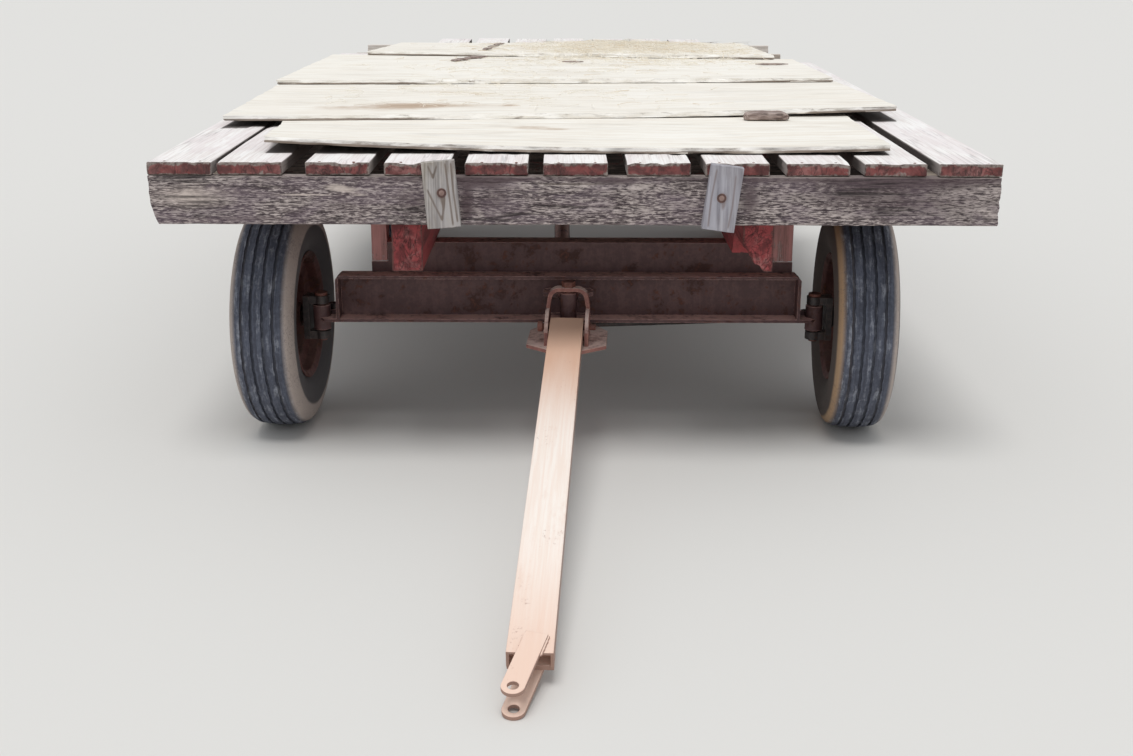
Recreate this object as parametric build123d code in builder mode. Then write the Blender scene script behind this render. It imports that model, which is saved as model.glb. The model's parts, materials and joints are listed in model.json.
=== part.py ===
from build123d import *
import math
import os

# Flatbed hay wagon on an automotive-steer running gear
# Millimetres. Front of the wagon towards -Y, ground at Z = 0, origin under the middle of its length.

# Deck
DECK_WIDTH = 2438
DECK_LENGTH = 4877
DECK_FRONT = -1731
DECK_TAIL = DECK_FRONT + DECK_LENGTH
PLANK_THICK = 38
HEADER_THICK = 45
JOIST_HEIGHT = 143
JOIST_THICK = 42
JOIST_PITCH = 598
JOIST_START = 646
JOIST_COUNT = 7
JOIST_SHORTFALL = 30
SHEET_THICK = 18
SILL_WIDTH = 92
SILL_HEIGHT = 152
SILL_BOTTOM = 618
SILL_SETBACK = 70
JOIST_BOTTOM = SILL_BOTTOM + SILL_HEIGHT
PLANK_BOTTOM = JOIST_BOTTOM + JOIST_HEIGHT
DECK_TOP = PLANK_BOTTOM + PLANK_THICK

# Running gear
GEAR_X = -15
WHEELBASE = 3050
TYRE_RADIUS = 366
TYRE_WIDTH = 200
RIM_RADIUS = 203
WHEEL_X = 938
AXLE_FRONT_FACE = DECK_FRONT + 425
CHANNEL_DEPTH = 72
CHANNEL_BOTTOM = 367
CHANNEL_HEIGHT = 153
CHANNEL_TOP = CHANNEL_BOTTOM + CHANNEL_HEIGHT
CHANNEL_WALL = 10
CHANNEL_HALF = 750
KINGPIN_X = 803
KINGPIN_Y = AXLE_FRONT_FACE + 45
WHEEL_TRAIL = 55
WHEEL_Y = KINGPIN_Y + WHEEL_TRAIL
REAR_WHEEL_Y = WHEEL_Y + WHEELBASE
BOLSTER_LEFT = -652
BOLSTER_RIGHT = 712
BOLSTER_HEIGHT = SILL_BOTTOM - CHANNEL_TOP
BOLSTER_DEPTH = 80
BOLSTER_WALL = 8
BOLSTER_Y = AXLE_FRONT_FACE + CHANNEL_DEPTH + 30
REACH_X = GEAR_X - 20
REACH_Z = 455
REACH_RADIUS = 30
REACH_WALL = 5
SPINDLE_RADIUS = 22
SPINDLE_ROOT = 838
SPINDLE_TIP = 988
COLLAR_RADIUS = 44
COLLAR_LENGTH = 14

# Kingpins, seen from above on the ends of the axle
TUBE_RADIUS = 28
TUBE_BOTTOM = 335
TUBE_TOP = 415
PIN_RADIUS = 14
PIN_BOTTOM = 296
PIN_LENGTH = 158
PIN_HEAD_RADIUS = 21
PIN_HEAD_HEIGHT = 10
EYE_RADIUS = 26
EYE_HEIGHT = 25
LOWER_EYE = 304
UPPER_EYE = 421
FIT = 0.1

# Steering
REST_STEER = -3.1
KINGBOLT_Y = AXLE_FRONT_FACE - 55
KINGBOLT_RADIUS = 12
KINGBOLT_PLAY = 0.6
NUT_RADIUS = 22
NUT_HEIGHT = 18
STEER_TUBE_RADIUS = 26
STEER_TUBE_BOTTOM = 350
STEER_TUBE_HEIGHT = 130
SHELF_THICK = 12
UPPER_SHELF = 450
PLATE_BOTTOM = 333
PLATE_THICK = 12
PLATE_TOP = PLATE_BOTTOM + PLATE_THICK
ARM_LENGTH = 200
ROD_BOLT_RADIUS = 8
ROD_EYE_RADIUS = 21
ROD_EYE_HEIGHT = 22
ROD_RADIUS = 10
ROD_NECK_RADIUS = 10.9
ROD_NECK_START = 14
ROD_NECK_LENGTH = 42
ROD_CLEAR = 1.5
YOKE_INSIDE = 57
STRAP_THICK = 12
YOKE_OUTSIDE = YOKE_INSIDE + STRAP_THICK
STRAP_FRONT = 22
STRAP_DEPTH = 37
YOKE_SHOULDER = 438
BRIDGE_TOP = 500
BRIDGE_HALF = 60
BRIDGE_ROUND = 36
HINGE_AHEAD = 100
HINGE_Z = 396
HINGE_Y = KINGBOLT_Y - HINGE_AHEAD
HINGE_RADIUS = 10
HINGE_HEAD_RADIUS = 17
HINGE_HEAD_LENGTH = 16
HINGE_OVERHANG = 22

# Tongue, drawn level about the hinge pin and then let down until the clevis rests on the ground
TONGUE_WIDTH = 104
TONGUE_HEIGHT = 42
TONGUE_WALL = 7
TONGUE_TOP = 18
TONGUE_FRONT = 1577
TONGUE_BACK = 27
HITCH_REACH = 1694
HITCH_RADIUS = 26
HITCH_HOLE = 12.5
HITCH_PLATE = 10
HITCH_BAR = 12
HITCH_TURN = 12.3
HITCH_OFFSET = -26
HITCH_LAP = 62
CLEVIS_BOTTOM = TONGUE_TOP - TONGUE_HEIGHT - HITCH_BAR - HITCH_PLATE
TIP_REACH = HITCH_REACH + HITCH_RADIUS
TONGUE_DROP = math.degrees(
    math.asin(HINGE_Z / math.hypot(TIP_REACH, CLEVIS_BOTTOM)) - math.atan2(-CLEVIS_BOTTOM, TIP_REACH)
)

os.makedirs("parts", exist_ok=True)


def save(part, name):
    """Labels a finished piece and writes it."""
    part.label = name
    export_step(part, f"parts/{name}.step")


def steered(part, x, y):
    """Turns a piece to the parked steering angle about an upright pin."""
    return part.rotate(Axis((x, y, 0), (0, 0, 1)), REST_STEER)


def side_name(side):
    """Side -1 is the left of the picture, side 1 the right."""
    return "left" if side < 0 else "right"


# Deck planks, run along the wagon with uneven gaps; the outer ones have rotted short at the tail
# Columns: left edge from the middle, width, setback of the front end, shortfall of the tail end
planks = [
    (-1215, 184, 0, 1130),
    (-1018, 186, 4, 560),
    (-767, 184, 6, 40),
    (-543, 188, 2, 0),
    (-314, 182, 9, 25),
    (-91, 186, 5, 0),
    (147, 184, 3, 15),
    (372, 184, 7, 0),
    (601, 184, 4, 30),
    (824, 180, 6, 570),
    (1036, 182, 0, 1600),
]
with BuildPart() as deck_planks:
    with BuildSketch(Plane.XY.offset(PLANK_BOTTOM)):
        for left, width, setback, shortfall in planks:
            length = DECK_LENGTH - setback - shortfall
            with Locations((left + width / 2, DECK_FRONT + setback + length / 2)):
                Rectangle(width, length)
    extrude(amount=PLANK_THICK)
save(deck_planks.part, "deck_planks")

# Cross joists between the front and tail headers
with BuildPart() as cross_joists:
    with BuildSketch(Plane.XY.offset(JOIST_BOTTOM)):
        for index in range(JOIST_COUNT):
            with Locations((0, DECK_FRONT + JOIST_START + JOIST_PITCH * index)):
                Rectangle(DECK_WIDTH - JOIST_SHORTFALL, JOIST_THICK)
    extrude(amount=JOIST_HEIGHT)
save(cross_joists.part, "cross_joists")

# Front header: a beam whose left end is worn back towards its lower edge
HALF_WIDTH = DECK_WIDTH / 2
with BuildPart() as front_header:
    with BuildSketch(Plane.XZ.offset(-DECK_FRONT)):
        with BuildLine():
            Polyline(
                (-HALF_WIDTH, PLANK_BOTTOM),
                (HALF_WIDTH, PLANK_BOTTOM),
                (HALF_WIDTH - 3, JOIST_BOTTOM + 6),
                (HALF_WIDTH - 15, JOIST_BOTTOM),
                (-HALF_WIDTH + 49, JOIST_BOTTOM),
                (-HALF_WIDTH + 25, JOIST_BOTTOM + 14),
                (-HALF_WIDTH + 6, JOIST_BOTTOM + 70),
                close=True,
            )
        make_face()
    extrude(amount=-HEADER_THICK)
save(front_header.part, "front_header")

with BuildPart() as tail_header:
    with BuildSketch(Plane.XY.offset(JOIST_BOTTOM)):
        with Locations((0, DECK_TAIL - HEADER_THICK / 2)):
            Rectangle(DECK_WIDTH, HEADER_THICK)
    extrude(amount=JOIST_HEIGHT)
save(tail_header.part, "tail_header")

# Long sills under the joists; the right one has a rotted lower front corner
SILL_FRONT = DECK_FRONT + SILL_SETBACK
SILL_BACK = DECK_TAIL - 60
ROT_LENGTH = 260
for name, centre_x, rotted in (("sill_left", -490, False), ("sill_right", 540, True)):
    inner_face = centre_x - SILL_WIDTH / 2
    with BuildPart() as sill:
        with BuildSketch(Plane.XY.offset(SILL_BOTTOM)):
            with Locations((centre_x, (SILL_FRONT + SILL_BACK) / 2)):
                Rectangle(SILL_WIDTH, SILL_BACK - SILL_FRONT)
        extrude(amount=SILL_HEIGHT)
        if rotted:
            with BuildSketch(Plane.XZ.offset(-SILL_FRONT)):
                with BuildLine():
                    Polyline(
                        (inner_face, SILL_BOTTOM),
                        (inner_face + 60, SILL_BOTTOM),
                        (inner_face + 54, SILL_BOTTOM + 22),
                        (inner_face + 36, SILL_BOTTOM + 30),
                        (inner_face + 24, SILL_BOTTOM + 58),
                        (inner_face, SILL_BOTTOM + 84),
                        close=True,
                    )
                make_face()
            extrude(amount=-ROT_LENGTH, mode=Mode.SUBTRACT)
    save(sill.part, name)

# Leaning cleats on the face of the front header
# Columns: name, middle of the board, lean in degrees, width, height, thickness
cleats = [
    ("cleat_left", -380, 863, 5, 96, 192, 28),
    ("cleat_right", 420, 855, -7, 94, 188, 32),
]
for name, centre_x, centre_z, lean, width, height, thick in cleats:
    with BuildPart() as cleat:
        with BuildSketch(Plane.XZ.offset(-DECK_FRONT)):
            with Locations(Location((centre_x, centre_z), lean)):
                Rectangle(width, height)
        extrude(amount=thick)
    save(cleat.part, name)

# Loose sheets laid across the planks like shingles, each one's front edge on the tail of the one before.
# The first three have sagged.
# Each is drawn through two or three cross sections from front to tail.
# Columns: left end, right end, heights of the underside over the planks at left, middle and right
sheets = {
    "deck_panel_1": [
        ((-916, 175), (935, 172), (31, 2, 11)),
        ((-958, 640), (948, 660), (3, 0.4, 2)),
        ((-975, 820), (955, 1020), (0, 0, 0)),
    ],
    "deck_panel_2": [
        ((-1165, 750), (1125, 951), (19.8, 23.5, 35)),
        ((-1210, 1980), (1130, 2150), (0, 0, 0)),
    ],
    "deck_panel_3": [
        ((-1213, 1920), (1110, 2080), (20.2, 20.2, 21.4)),
        ((-1215, 3450), (1117, 3250), (0, 0, 0)),
    ],
}


def sheet_section(left_end, right_end, heights):
    """Upright cross section of a sheet between two places on the deck, sagging through its heights."""
    span_x = right_end[0] - left_end[0]
    span_y = right_end[1] - left_end[1]
    width = math.hypot(span_x, span_y)
    at_left, at_middle, at_right = heights
    plane = Plane(
        origin=(left_end[0], DECK_FRONT + left_end[1], DECK_TOP),
        x_dir=(span_x, span_y, 0),
        z_dir=(span_y, -span_x, 0),
    )
    with BuildSketch(plane) as section:
        with BuildLine():
            if at_left == at_middle == at_right:
                Line((0, at_left), (width, at_right))
                Line((0, at_left + SHEET_THICK), (width, at_right + SHEET_THICK))
            else:
                ThreePointArc((0, at_left), (width / 2, at_middle), (width, at_right))
                ThreePointArc(
                    (0, at_left + SHEET_THICK),
                    (width / 2, at_middle + SHEET_THICK),
                    (width, at_right + SHEET_THICK),
                )
            Line((0, at_left), (0, at_left + SHEET_THICK))
            Line((width, at_right), (width, at_right + SHEET_THICK))
        make_face()
    return section.sketch


for name, sections in sheets.items():
    faces = [sheet_section(*section) for section in sections]
    with BuildPart() as sheet:
        for front_face, back_face in zip(faces, faces[1:]):
            loft(sections=[front_face.face(), back_face.face()], ruled=True)
    save(sheet.part, name)

# The tail sheet is still flat: it leans, its front left corner on the third sheet and its tail edge
# on the planks. Places on the deck: front left, front right, tail right, tail left
tail_corners = [(-1030, 3380), (1020, 3190), (985, 4250), (-951, 4260)]
TAIL_SHEET_LIFT = 20.8
on_deck = [Vector(x, DECK_FRONT + y, DECK_TOP) for x, y in tail_corners]
front_left, _, tail_right, tail_left = on_deck
tail_edge = tail_right - tail_left
rise = front_left + Vector(0, 0, TAIL_SHEET_LIFT) - tail_left
tail_plane = Plane(origin=tail_left, x_dir=tail_edge, z_dir=rise.cross(tail_edge))
with BuildPart() as tail_sheet:
    with BuildSketch(tail_plane):
        with BuildLine():
            flattened = [tail_plane.to_local_coords(corner) for corner in on_deck]
            Polyline([(corner.X, corner.Y) for corner in flattened], close=True)
        make_face()
    extrude(amount=SHEET_THICK)
save(tail_sheet.part, "deck_panel_4")

# Stakes in notches at the ends of the bolsters, outboard of the sills
# Columns: left face, right face
stakes = [(-652, -600), (637, 712)]
STAKE_DEPTH = BOLSTER_DEPTH + 4
STAKE_BOTTOM = 554

# Bolsters: steel channels across the gear, carrying the sills
bolsters = (("front", BOLSTER_Y), ("rear", REAR_WHEEL_Y))
for end, centre_y in bolsters:
    with BuildPart() as bolster:
        with BuildSketch(Plane.YZ.offset(BOLSTER_LEFT)):
            with Locations((centre_y, CHANNEL_TOP + BOLSTER_HEIGHT / 2)):
                Rectangle(BOLSTER_DEPTH, BOLSTER_HEIGHT)
            with Locations((centre_y + BOLSTER_WALL, CHANNEL_TOP + BOLSTER_HEIGHT / 2)):
                Rectangle(BOLSTER_DEPTH, BOLSTER_HEIGHT - 2 * BOLSTER_WALL, mode=Mode.SUBTRACT)
        extrude(amount=BOLSTER_RIGHT - BOLSTER_LEFT)
        with BuildSketch(Plane.XY.offset(STAKE_BOTTOM)):
            for left, right in stakes:
                with Locations(((left + right) / 2, centre_y)):
                    Rectangle(right - left, STAKE_DEPTH)
        extrude(amount=SILL_BOTTOM - STAKE_BOTTOM, mode=Mode.SUBTRACT)
    save(bolster.part, f"{end}_bolster")
    with BuildPart() as stake_pair:
        with BuildSketch(Plane.XY.offset(STAKE_BOTTOM)):
            for left, right in stakes:
                with Locations(((left + right) / 2, centre_y)):
                    Rectangle(right - left, STAKE_DEPTH)
        extrude(amount=JOIST_BOTTOM - STAKE_BOTTOM)
    save(stake_pair.part, f"{end}_stakes")


def channel_profile(mouth_y, web_y):
    """Channel section across the wagon's length, from its open mouth to the back of its web."""
    inward = 1 if web_y > mouth_y else -1
    with BuildSketch(Plane.YZ.offset(GEAR_X - CHANNEL_HALF)) as section:
        with BuildLine():
            Polyline(
                (mouth_y, CHANNEL_BOTTOM),
                (web_y, CHANNEL_BOTTOM),
                (web_y, CHANNEL_TOP),
                (mouth_y, CHANNEL_TOP),
                (mouth_y, CHANNEL_TOP - CHANNEL_WALL),
                (web_y - inward * CHANNEL_WALL, CHANNEL_TOP - CHANNEL_WALL),
                (web_y - inward * CHANNEL_WALL, CHANNEL_BOTTOM + CHANNEL_WALL),
                (mouth_y, CHANNEL_BOTTOM + CHANNEL_WALL),
                close=True,
            )
        make_face()
    return section.sketch


# Front axle: a channel with its mouth forward and closed ends, whose lower flange narrows to a kingpin tube
END_CORNER = 14
GUSSET_HEIGHT = 28
AXLE_BACK = AXLE_FRONT_FACE + CHANNEL_DEPTH
front_section = channel_profile(AXLE_FRONT_FACE, AXLE_BACK)
with BuildPart() as front_axle:
    extrude(front_section, amount=2 * CHANNEL_HALF, dir=(1, 0, 0))
    for side in (-1, 1):
        end_x = GEAR_X + side * CHANNEL_HALF
        pin_x = GEAR_X + side * KINGPIN_X
        # End plate across the mouth, and the channel's upper corner cut off with it
        with BuildSketch(Plane.YZ.offset(end_x - side * CHANNEL_WALL)):
            with Locations(((AXLE_FRONT_FACE + AXLE_BACK) / 2, CHANNEL_BOTTOM + CHANNEL_HEIGHT / 2)):
                Rectangle(CHANNEL_DEPTH, CHANNEL_HEIGHT)
        extrude(amount=side * CHANNEL_WALL)
        with BuildSketch(Plane.XZ.offset(-AXLE_BACK)):
            with BuildLine():
                Polyline(
                    (end_x, CHANNEL_TOP),
                    (end_x - side * END_CORNER, CHANNEL_TOP),
                    (end_x, CHANNEL_TOP - END_CORNER),
                    close=True,
                )
            make_face()
        extrude(amount=CHANNEL_DEPTH, mode=Mode.SUBTRACT)
        # Flange end
        with BuildSketch(Plane.XY.offset(CHANNEL_BOTTOM)):
            with BuildLine():
                Polyline(
                    (end_x - side * 5, AXLE_FRONT_FACE),
                    (end_x + side * 38, AXLE_FRONT_FACE),
                    (pin_x, KINGPIN_Y - TUBE_RADIUS + 1),
                    (pin_x, KINGPIN_Y + TUBE_RADIUS - 1),
                    (end_x - side * 5, AXLE_BACK),
                    close=True,
                )
            make_face()
        extrude(amount=CHANNEL_WALL)
        # Low gusset along the back of the flange end
        with BuildSketch(Plane.XZ.offset(-(AXLE_BACK - CHANNEL_WALL))):
            with BuildLine():
                Polyline(
                    (end_x - side * 2, CHANNEL_BOTTOM),
                    (pin_x - side * 8, CHANNEL_BOTTOM),
                    (pin_x - side * 12, CHANNEL_BOTTOM + GUSSET_HEIGHT - 8),
                    (end_x - side * 2, CHANNEL_BOTTOM + GUSSET_HEIGHT),
                    close=True,
                )
            make_face()
        extrude(amount=-CHANNEL_WALL)
        # Kingpin tube
        with BuildSketch(Plane.XY.offset(TUBE_BOTTOM)):
            with Locations((pin_x, KINGPIN_Y)):
                Circle(TUBE_RADIUS)
        extrude(amount=TUBE_TOP - TUBE_BOTTOM)
    # Brackets from the mouth of the channel to the steering tube
    for shelf_z in (CHANNEL_BOTTOM, UPPER_SHELF):
        with BuildSketch(Plane.XY.offset(shelf_z)):
            with BuildLine():
                Polyline(
                    (GEAR_X - STEER_TUBE_RADIUS, KINGBOLT_Y),
                    (GEAR_X + STEER_TUBE_RADIUS, KINGBOLT_Y),
                    (GEAR_X + 34, AXLE_FRONT_FACE),
                    (GEAR_X + 80, AXLE_FRONT_FACE + 22),
                    (GEAR_X + 80, AXLE_BACK - 2),
                    (GEAR_X - 80, AXLE_BACK - 2),
                    (GEAR_X - 80, AXLE_FRONT_FACE + 22),
                    (GEAR_X - 34, AXLE_FRONT_FACE),
                    close=True,
                )
            make_face()
        extrude(amount=SHELF_THICK)
    with BuildSketch(Plane.XY.offset(STEER_TUBE_BOTTOM)):
        with Locations((GEAR_X, KINGBOLT_Y)):
            Circle(STEER_TUBE_RADIUS)
    extrude(amount=STEER_TUBE_HEIGHT)
    # Bores for the kingpins and the kingbolt
    with BuildSketch(Plane.XY.offset(PIN_BOTTOM)):
        with Locations((GEAR_X - KINGPIN_X, KINGPIN_Y), (GEAR_X + KINGPIN_X, KINGPIN_Y)):
            Circle(PIN_RADIUS + FIT)
        with Locations((GEAR_X, KINGBOLT_Y)):
            Circle(KINGBOLT_RADIUS + KINGBOLT_PLAY)
    extrude(amount=STEER_TUBE_BOTTOM + STEER_TUBE_HEIGHT, mode=Mode.SUBTRACT)
save(front_axle.part, "front_axle")

# Rear axle: the same channel with its mouth aft, and a sleeve in each end that holds a spindle
REAR_AXLE_MOUTH = REAR_WHEEL_Y + CHANNEL_DEPTH / 2
REAR_AXLE_WEB = REAR_WHEEL_Y - CHANNEL_DEPTH / 2
SLEEVE_DEPTH = 130
SLEEVE_WIDTH = 52
SLEEVE_HEIGHT = 60
rear_section = channel_profile(REAR_AXLE_MOUTH, REAR_AXLE_WEB)
with BuildPart() as rear_axle:
    extrude(rear_section, amount=2 * CHANNEL_HALF, dir=(1, 0, 0))
    for side in (-1, 1):
        with BuildSketch(Plane.YZ.offset(GEAR_X + side * (CHANNEL_HALF - SLEEVE_DEPTH))):
            with Locations((REAR_WHEEL_Y, TYRE_RADIUS + SLEEVE_HEIGHT / 2)):
                Rectangle(SLEEVE_WIDTH, SLEEVE_HEIGHT)
        extrude(amount=side * (SPINDLE_ROOT - CHANNEL_HALF + SLEEVE_DEPTH))
        with BuildSketch(Plane.YZ.offset(GEAR_X + side * SPINDLE_ROOT)):
            with Locations((REAR_WHEEL_Y, TYRE_RADIUS)):
                Circle(COLLAR_RADIUS)
        extrude(amount=side * COLLAR_LENGTH)
        with BuildSketch(Plane.YZ.offset(GEAR_X + side * (SPINDLE_ROOT + COLLAR_LENGTH))):
            with Locations((REAR_WHEEL_Y, TYRE_RADIUS)):
                Circle(SPINDLE_RADIUS)
        extrude(amount=side * (SPINDLE_TIP - SPINDLE_ROOT - COLLAR_LENGTH))
save(rear_axle.part, "rear_axle")

# Saddle behind the front axle, which takes the reach pipe and the front bolster
SADDLE_BACK = BOLSTER_Y + 90
SADDLE_WIDTH = 150
SADDLE_BOTTOM = 392
PIPE_SOCKET = 90
with BuildPart() as reach_saddle:
    with BuildSketch(Plane.XY.offset(SADDLE_BOTTOM)):
        with Locations((GEAR_X, (AXLE_BACK + SADDLE_BACK) / 2)):
            Rectangle(SADDLE_WIDTH, SADDLE_BACK - AXLE_BACK)
    extrude(amount=CHANNEL_TOP - SADDLE_BOTTOM)
    with BuildSketch(Plane.XZ.offset(-SADDLE_BACK)):
        with Locations((REACH_X, REACH_Z)):
            Circle(REACH_RADIUS)
    extrude(amount=PIPE_SOCKET, mode=Mode.SUBTRACT)
save(reach_saddle.part, "reach_saddle")

PIPE_FRONT = SADDLE_BACK - PIPE_SOCKET
with BuildPart() as reach_pipe:
    with BuildSketch(Plane.XZ.offset(-PIPE_FRONT)):
        with Locations((REACH_X, REACH_Z)):
            Circle(REACH_RADIUS)
            Circle(REACH_RADIUS - REACH_WALL, mode=Mode.SUBTRACT)
    extrude(amount=-(REAR_AXLE_WEB - PIPE_FRONT))
save(reach_pipe.part, "reach_pipe")

# Hounds: two flat braces from the rear axle forward to a collar on the reach
HOUND_FRONT = REAR_AXLE_WEB - 1050
HOUND_HEIGHT = 38
COLLAR_HALF = 42
COLLAR_DEPTH = 60
for side in (-1, 1):
    with BuildPart() as hound:
        with BuildSketch(Plane.XY.offset(REACH_Z - HOUND_HEIGHT / 2)):
            with BuildLine():
                Polyline(
                    (REACH_X + side * COLLAR_HALF, HOUND_FRONT),
                    (REACH_X + side * COLLAR_HALF, HOUND_FRONT + COLLAR_DEPTH),
                    (GEAR_X + side * 520, REAR_AXLE_WEB),
                    (GEAR_X + side * 570, REAR_AXLE_WEB),
                    (REACH_X + side * 58, HOUND_FRONT),
                    close=True,
                )
            make_face()
        extrude(amount=HOUND_HEIGHT)
    save(hound.part, f"hound_{side_name(side)}")

with BuildPart() as reach_collar:
    with BuildSketch(Plane.XZ.offset(-HOUND_FRONT)):
        with Locations((REACH_X, REACH_Z)):
            Rectangle(2 * COLLAR_HALF, 2 * COLLAR_HALF)
            Circle(REACH_RADIUS + FIT, mode=Mode.SUBTRACT)
    extrude(amount=-COLLAR_DEPTH)
save(reach_collar.part, "reach_collar")

# Steering plate, turning with the yoke on the kingbolt under the axle; its tail carries both tie rods
plate_outline = [
    (-40, -200),
    (40, -200),
    (125, -130),
    (125, 40),
    (32, ARM_LENGTH),
    (-32, ARM_LENGTH),
    (-125, 40),
    (-125, -130),
]
with BuildPart() as steering_plate:
    with BuildSketch(Plane.XY.offset(PLATE_BOTTOM)):
        with BuildLine():
            Polyline([(GEAR_X + x, KINGBOLT_Y + y) for x, y in plate_outline], close=True)
        make_face()
        with Locations((GEAR_X, KINGBOLT_Y + ARM_LENGTH)):
            Circle(32)
            Circle(ROD_BOLT_RADIUS, mode=Mode.SUBTRACT)
        with Locations((GEAR_X, KINGBOLT_Y)):
            Circle(KINGBOLT_RADIUS, mode=Mode.SUBTRACT)
    extrude(amount=PLATE_THICK)
save(steered(steering_plate.part, GEAR_X, KINGBOLT_Y), "steering_plate")

# Yoke: a strap bent over the steering tube, with cheeks that reach forward to the hinge pin
CHEEK_ROOT = KINGBOLT_Y - STRAP_FRONT
CHEEK_NOSE = CHEEK_ROOT - 118
CHEEK_TOE = CHEEK_ROOT - 124


def strap_outline(inset):
    """Face under the bent strap's line: upright legs, leaning in above a shoulder to a round bridge."""
    with BuildSketch(Plane.XZ.offset(-CHEEK_ROOT)) as outline:
        with BuildLine():
            Polyline(
                (GEAR_X - YOKE_OUTSIDE + inset, PLATE_TOP),
                (GEAR_X - YOKE_OUTSIDE + inset, YOKE_SHOULDER),
                (GEAR_X - BRIDGE_HALF + inset, BRIDGE_TOP - inset),
                (GEAR_X + BRIDGE_HALF - inset, BRIDGE_TOP - inset),
                (GEAR_X + YOKE_OUTSIDE - inset, YOKE_SHOULDER),
                (GEAR_X + YOKE_OUTSIDE - inset, PLATE_TOP),
                close=True,
            )
        make_face()
        fillet(outline.vertices().group_by(Axis.Y)[-1], BRIDGE_ROUND - inset)
    return outline.sketch


strap_outside = strap_outline(0)
strap_inside = strap_outline(STRAP_THICK)
with BuildPart() as yoke:
    extrude(strap_outside, amount=-STRAP_DEPTH)
    extrude(strap_inside, amount=-STRAP_DEPTH, mode=Mode.SUBTRACT)
    for side in (-1, 1):
        with BuildSketch(Plane.YZ.offset(GEAR_X + side * YOKE_INSIDE)):
            with BuildLine():
                Line((CHEEK_ROOT, PLATE_TOP), (CHEEK_TOE, PLATE_TOP))
                Line((CHEEK_TOE, PLATE_TOP), (CHEEK_NOSE, HINGE_Z - 10))
                ThreePointArc(
                    (CHEEK_NOSE, HINGE_Z - 10),
                    (HINGE_Y - 4, HINGE_Z + 26),
                    (CHEEK_ROOT, HINGE_Z + 38),
                )
                Line((CHEEK_ROOT, HINGE_Z + 38), (CHEEK_ROOT, PLATE_TOP))
            make_face()
        extrude(amount=side * STRAP_THICK)
    with BuildSketch(Plane.YZ.offset(GEAR_X - YOKE_OUTSIDE)):
        with Locations((HINGE_Y, HINGE_Z)):
            Circle(HINGE_RADIUS)
    extrude(amount=2 * YOKE_OUTSIDE, mode=Mode.SUBTRACT)
    with BuildSketch(Plane.XY.offset(BRIDGE_TOP - STRAP_THICK)):
        with Locations((GEAR_X, KINGBOLT_Y)):
            Circle(KINGBOLT_RADIUS)
    extrude(amount=STRAP_THICK, mode=Mode.SUBTRACT)
save(steered(yoke.part, GEAR_X, KINGBOLT_Y), "yoke")

with BuildPart() as kingbolt:
    with BuildSketch(Plane.XY.offset(PLATE_BOTTOM - NUT_HEIGHT - 6)):
        with Locations((GEAR_X, KINGBOLT_Y)):
            Circle(KINGBOLT_RADIUS)
    extrude(amount=BRIDGE_TOP - PLATE_BOTTOM + NUT_HEIGHT + 6)
    for nut_bottom in (BRIDGE_TOP, PLATE_BOTTOM - NUT_HEIGHT):
        with BuildSketch(Plane.XY.offset(nut_bottom)):
            with Locations((GEAR_X, KINGBOLT_Y)):
                RegularPolygon(NUT_RADIUS, 6)
        extrude(amount=NUT_HEIGHT)
save(steered(kingbolt.part, GEAR_X, KINGBOLT_Y), "kingbolt")

# Hinge pin across the yoke, with a head at the left
with BuildPart() as hinge_pin:
    with BuildSketch(Plane.YZ.offset(GEAR_X - YOKE_OUTSIDE - HINGE_OVERHANG)):
        with Locations((HINGE_Y, HINGE_Z)):
            Circle(HINGE_RADIUS)
    extrude(amount=2 * (YOKE_OUTSIDE + HINGE_OVERHANG))
    with BuildSketch(Plane.YZ.offset(GEAR_X - YOKE_OUTSIDE - HINGE_OVERHANG)):
        with Locations((HINGE_Y, HINGE_Z)):
            Circle(HINGE_HEAD_RADIUS)
    extrude(amount=HINGE_HEAD_LENGTH)
save(steered(hinge_pin.part, GEAR_X, KINGBOLT_Y), "hinge_pin")


def lowered(part):
    """Takes a piece made level about the hinge pin to where the tongue lies."""
    dropped = part.rotate(Axis((0, 0, 0), (1, 0, 0)), TONGUE_DROP)
    placed = dropped.translate((GEAR_X, HINGE_Y, HINGE_Z))
    return steered(placed, GEAR_X, KINGBOLT_Y)


# Tongue: a channel with its web up, made level with the hinge pin at the origin
flange_outside = TONGUE_WIDTH / 2
flange_inside = flange_outside - TONGUE_WALL
flange_tip = TONGUE_TOP - TONGUE_HEIGHT
with BuildPart() as tongue:
    with BuildSketch(Plane.XZ.offset(-TONGUE_BACK)):
        with BuildLine():
            Polyline(
                (-flange_outside, flange_tip),
                (-flange_outside, TONGUE_TOP),
                (flange_outside, TONGUE_TOP),
                (flange_outside, flange_tip),
                (flange_inside, flange_tip),
                (flange_inside, TONGUE_TOP - TONGUE_WALL),
                (-flange_inside, TONGUE_TOP - TONGUE_WALL),
                (-flange_inside, flange_tip),
                close=True,
            )
        make_face()
    extrude(amount=TONGUE_FRONT + TONGUE_BACK)
    with BuildSketch(Plane.YZ.offset(-flange_outside)):
        Circle(HINGE_RADIUS + 2 * FIT)
    extrude(amount=TONGUE_WIDTH, mode=Mode.SUBTRACT)
save(lowered(tongue.part), "tongue")

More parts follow.
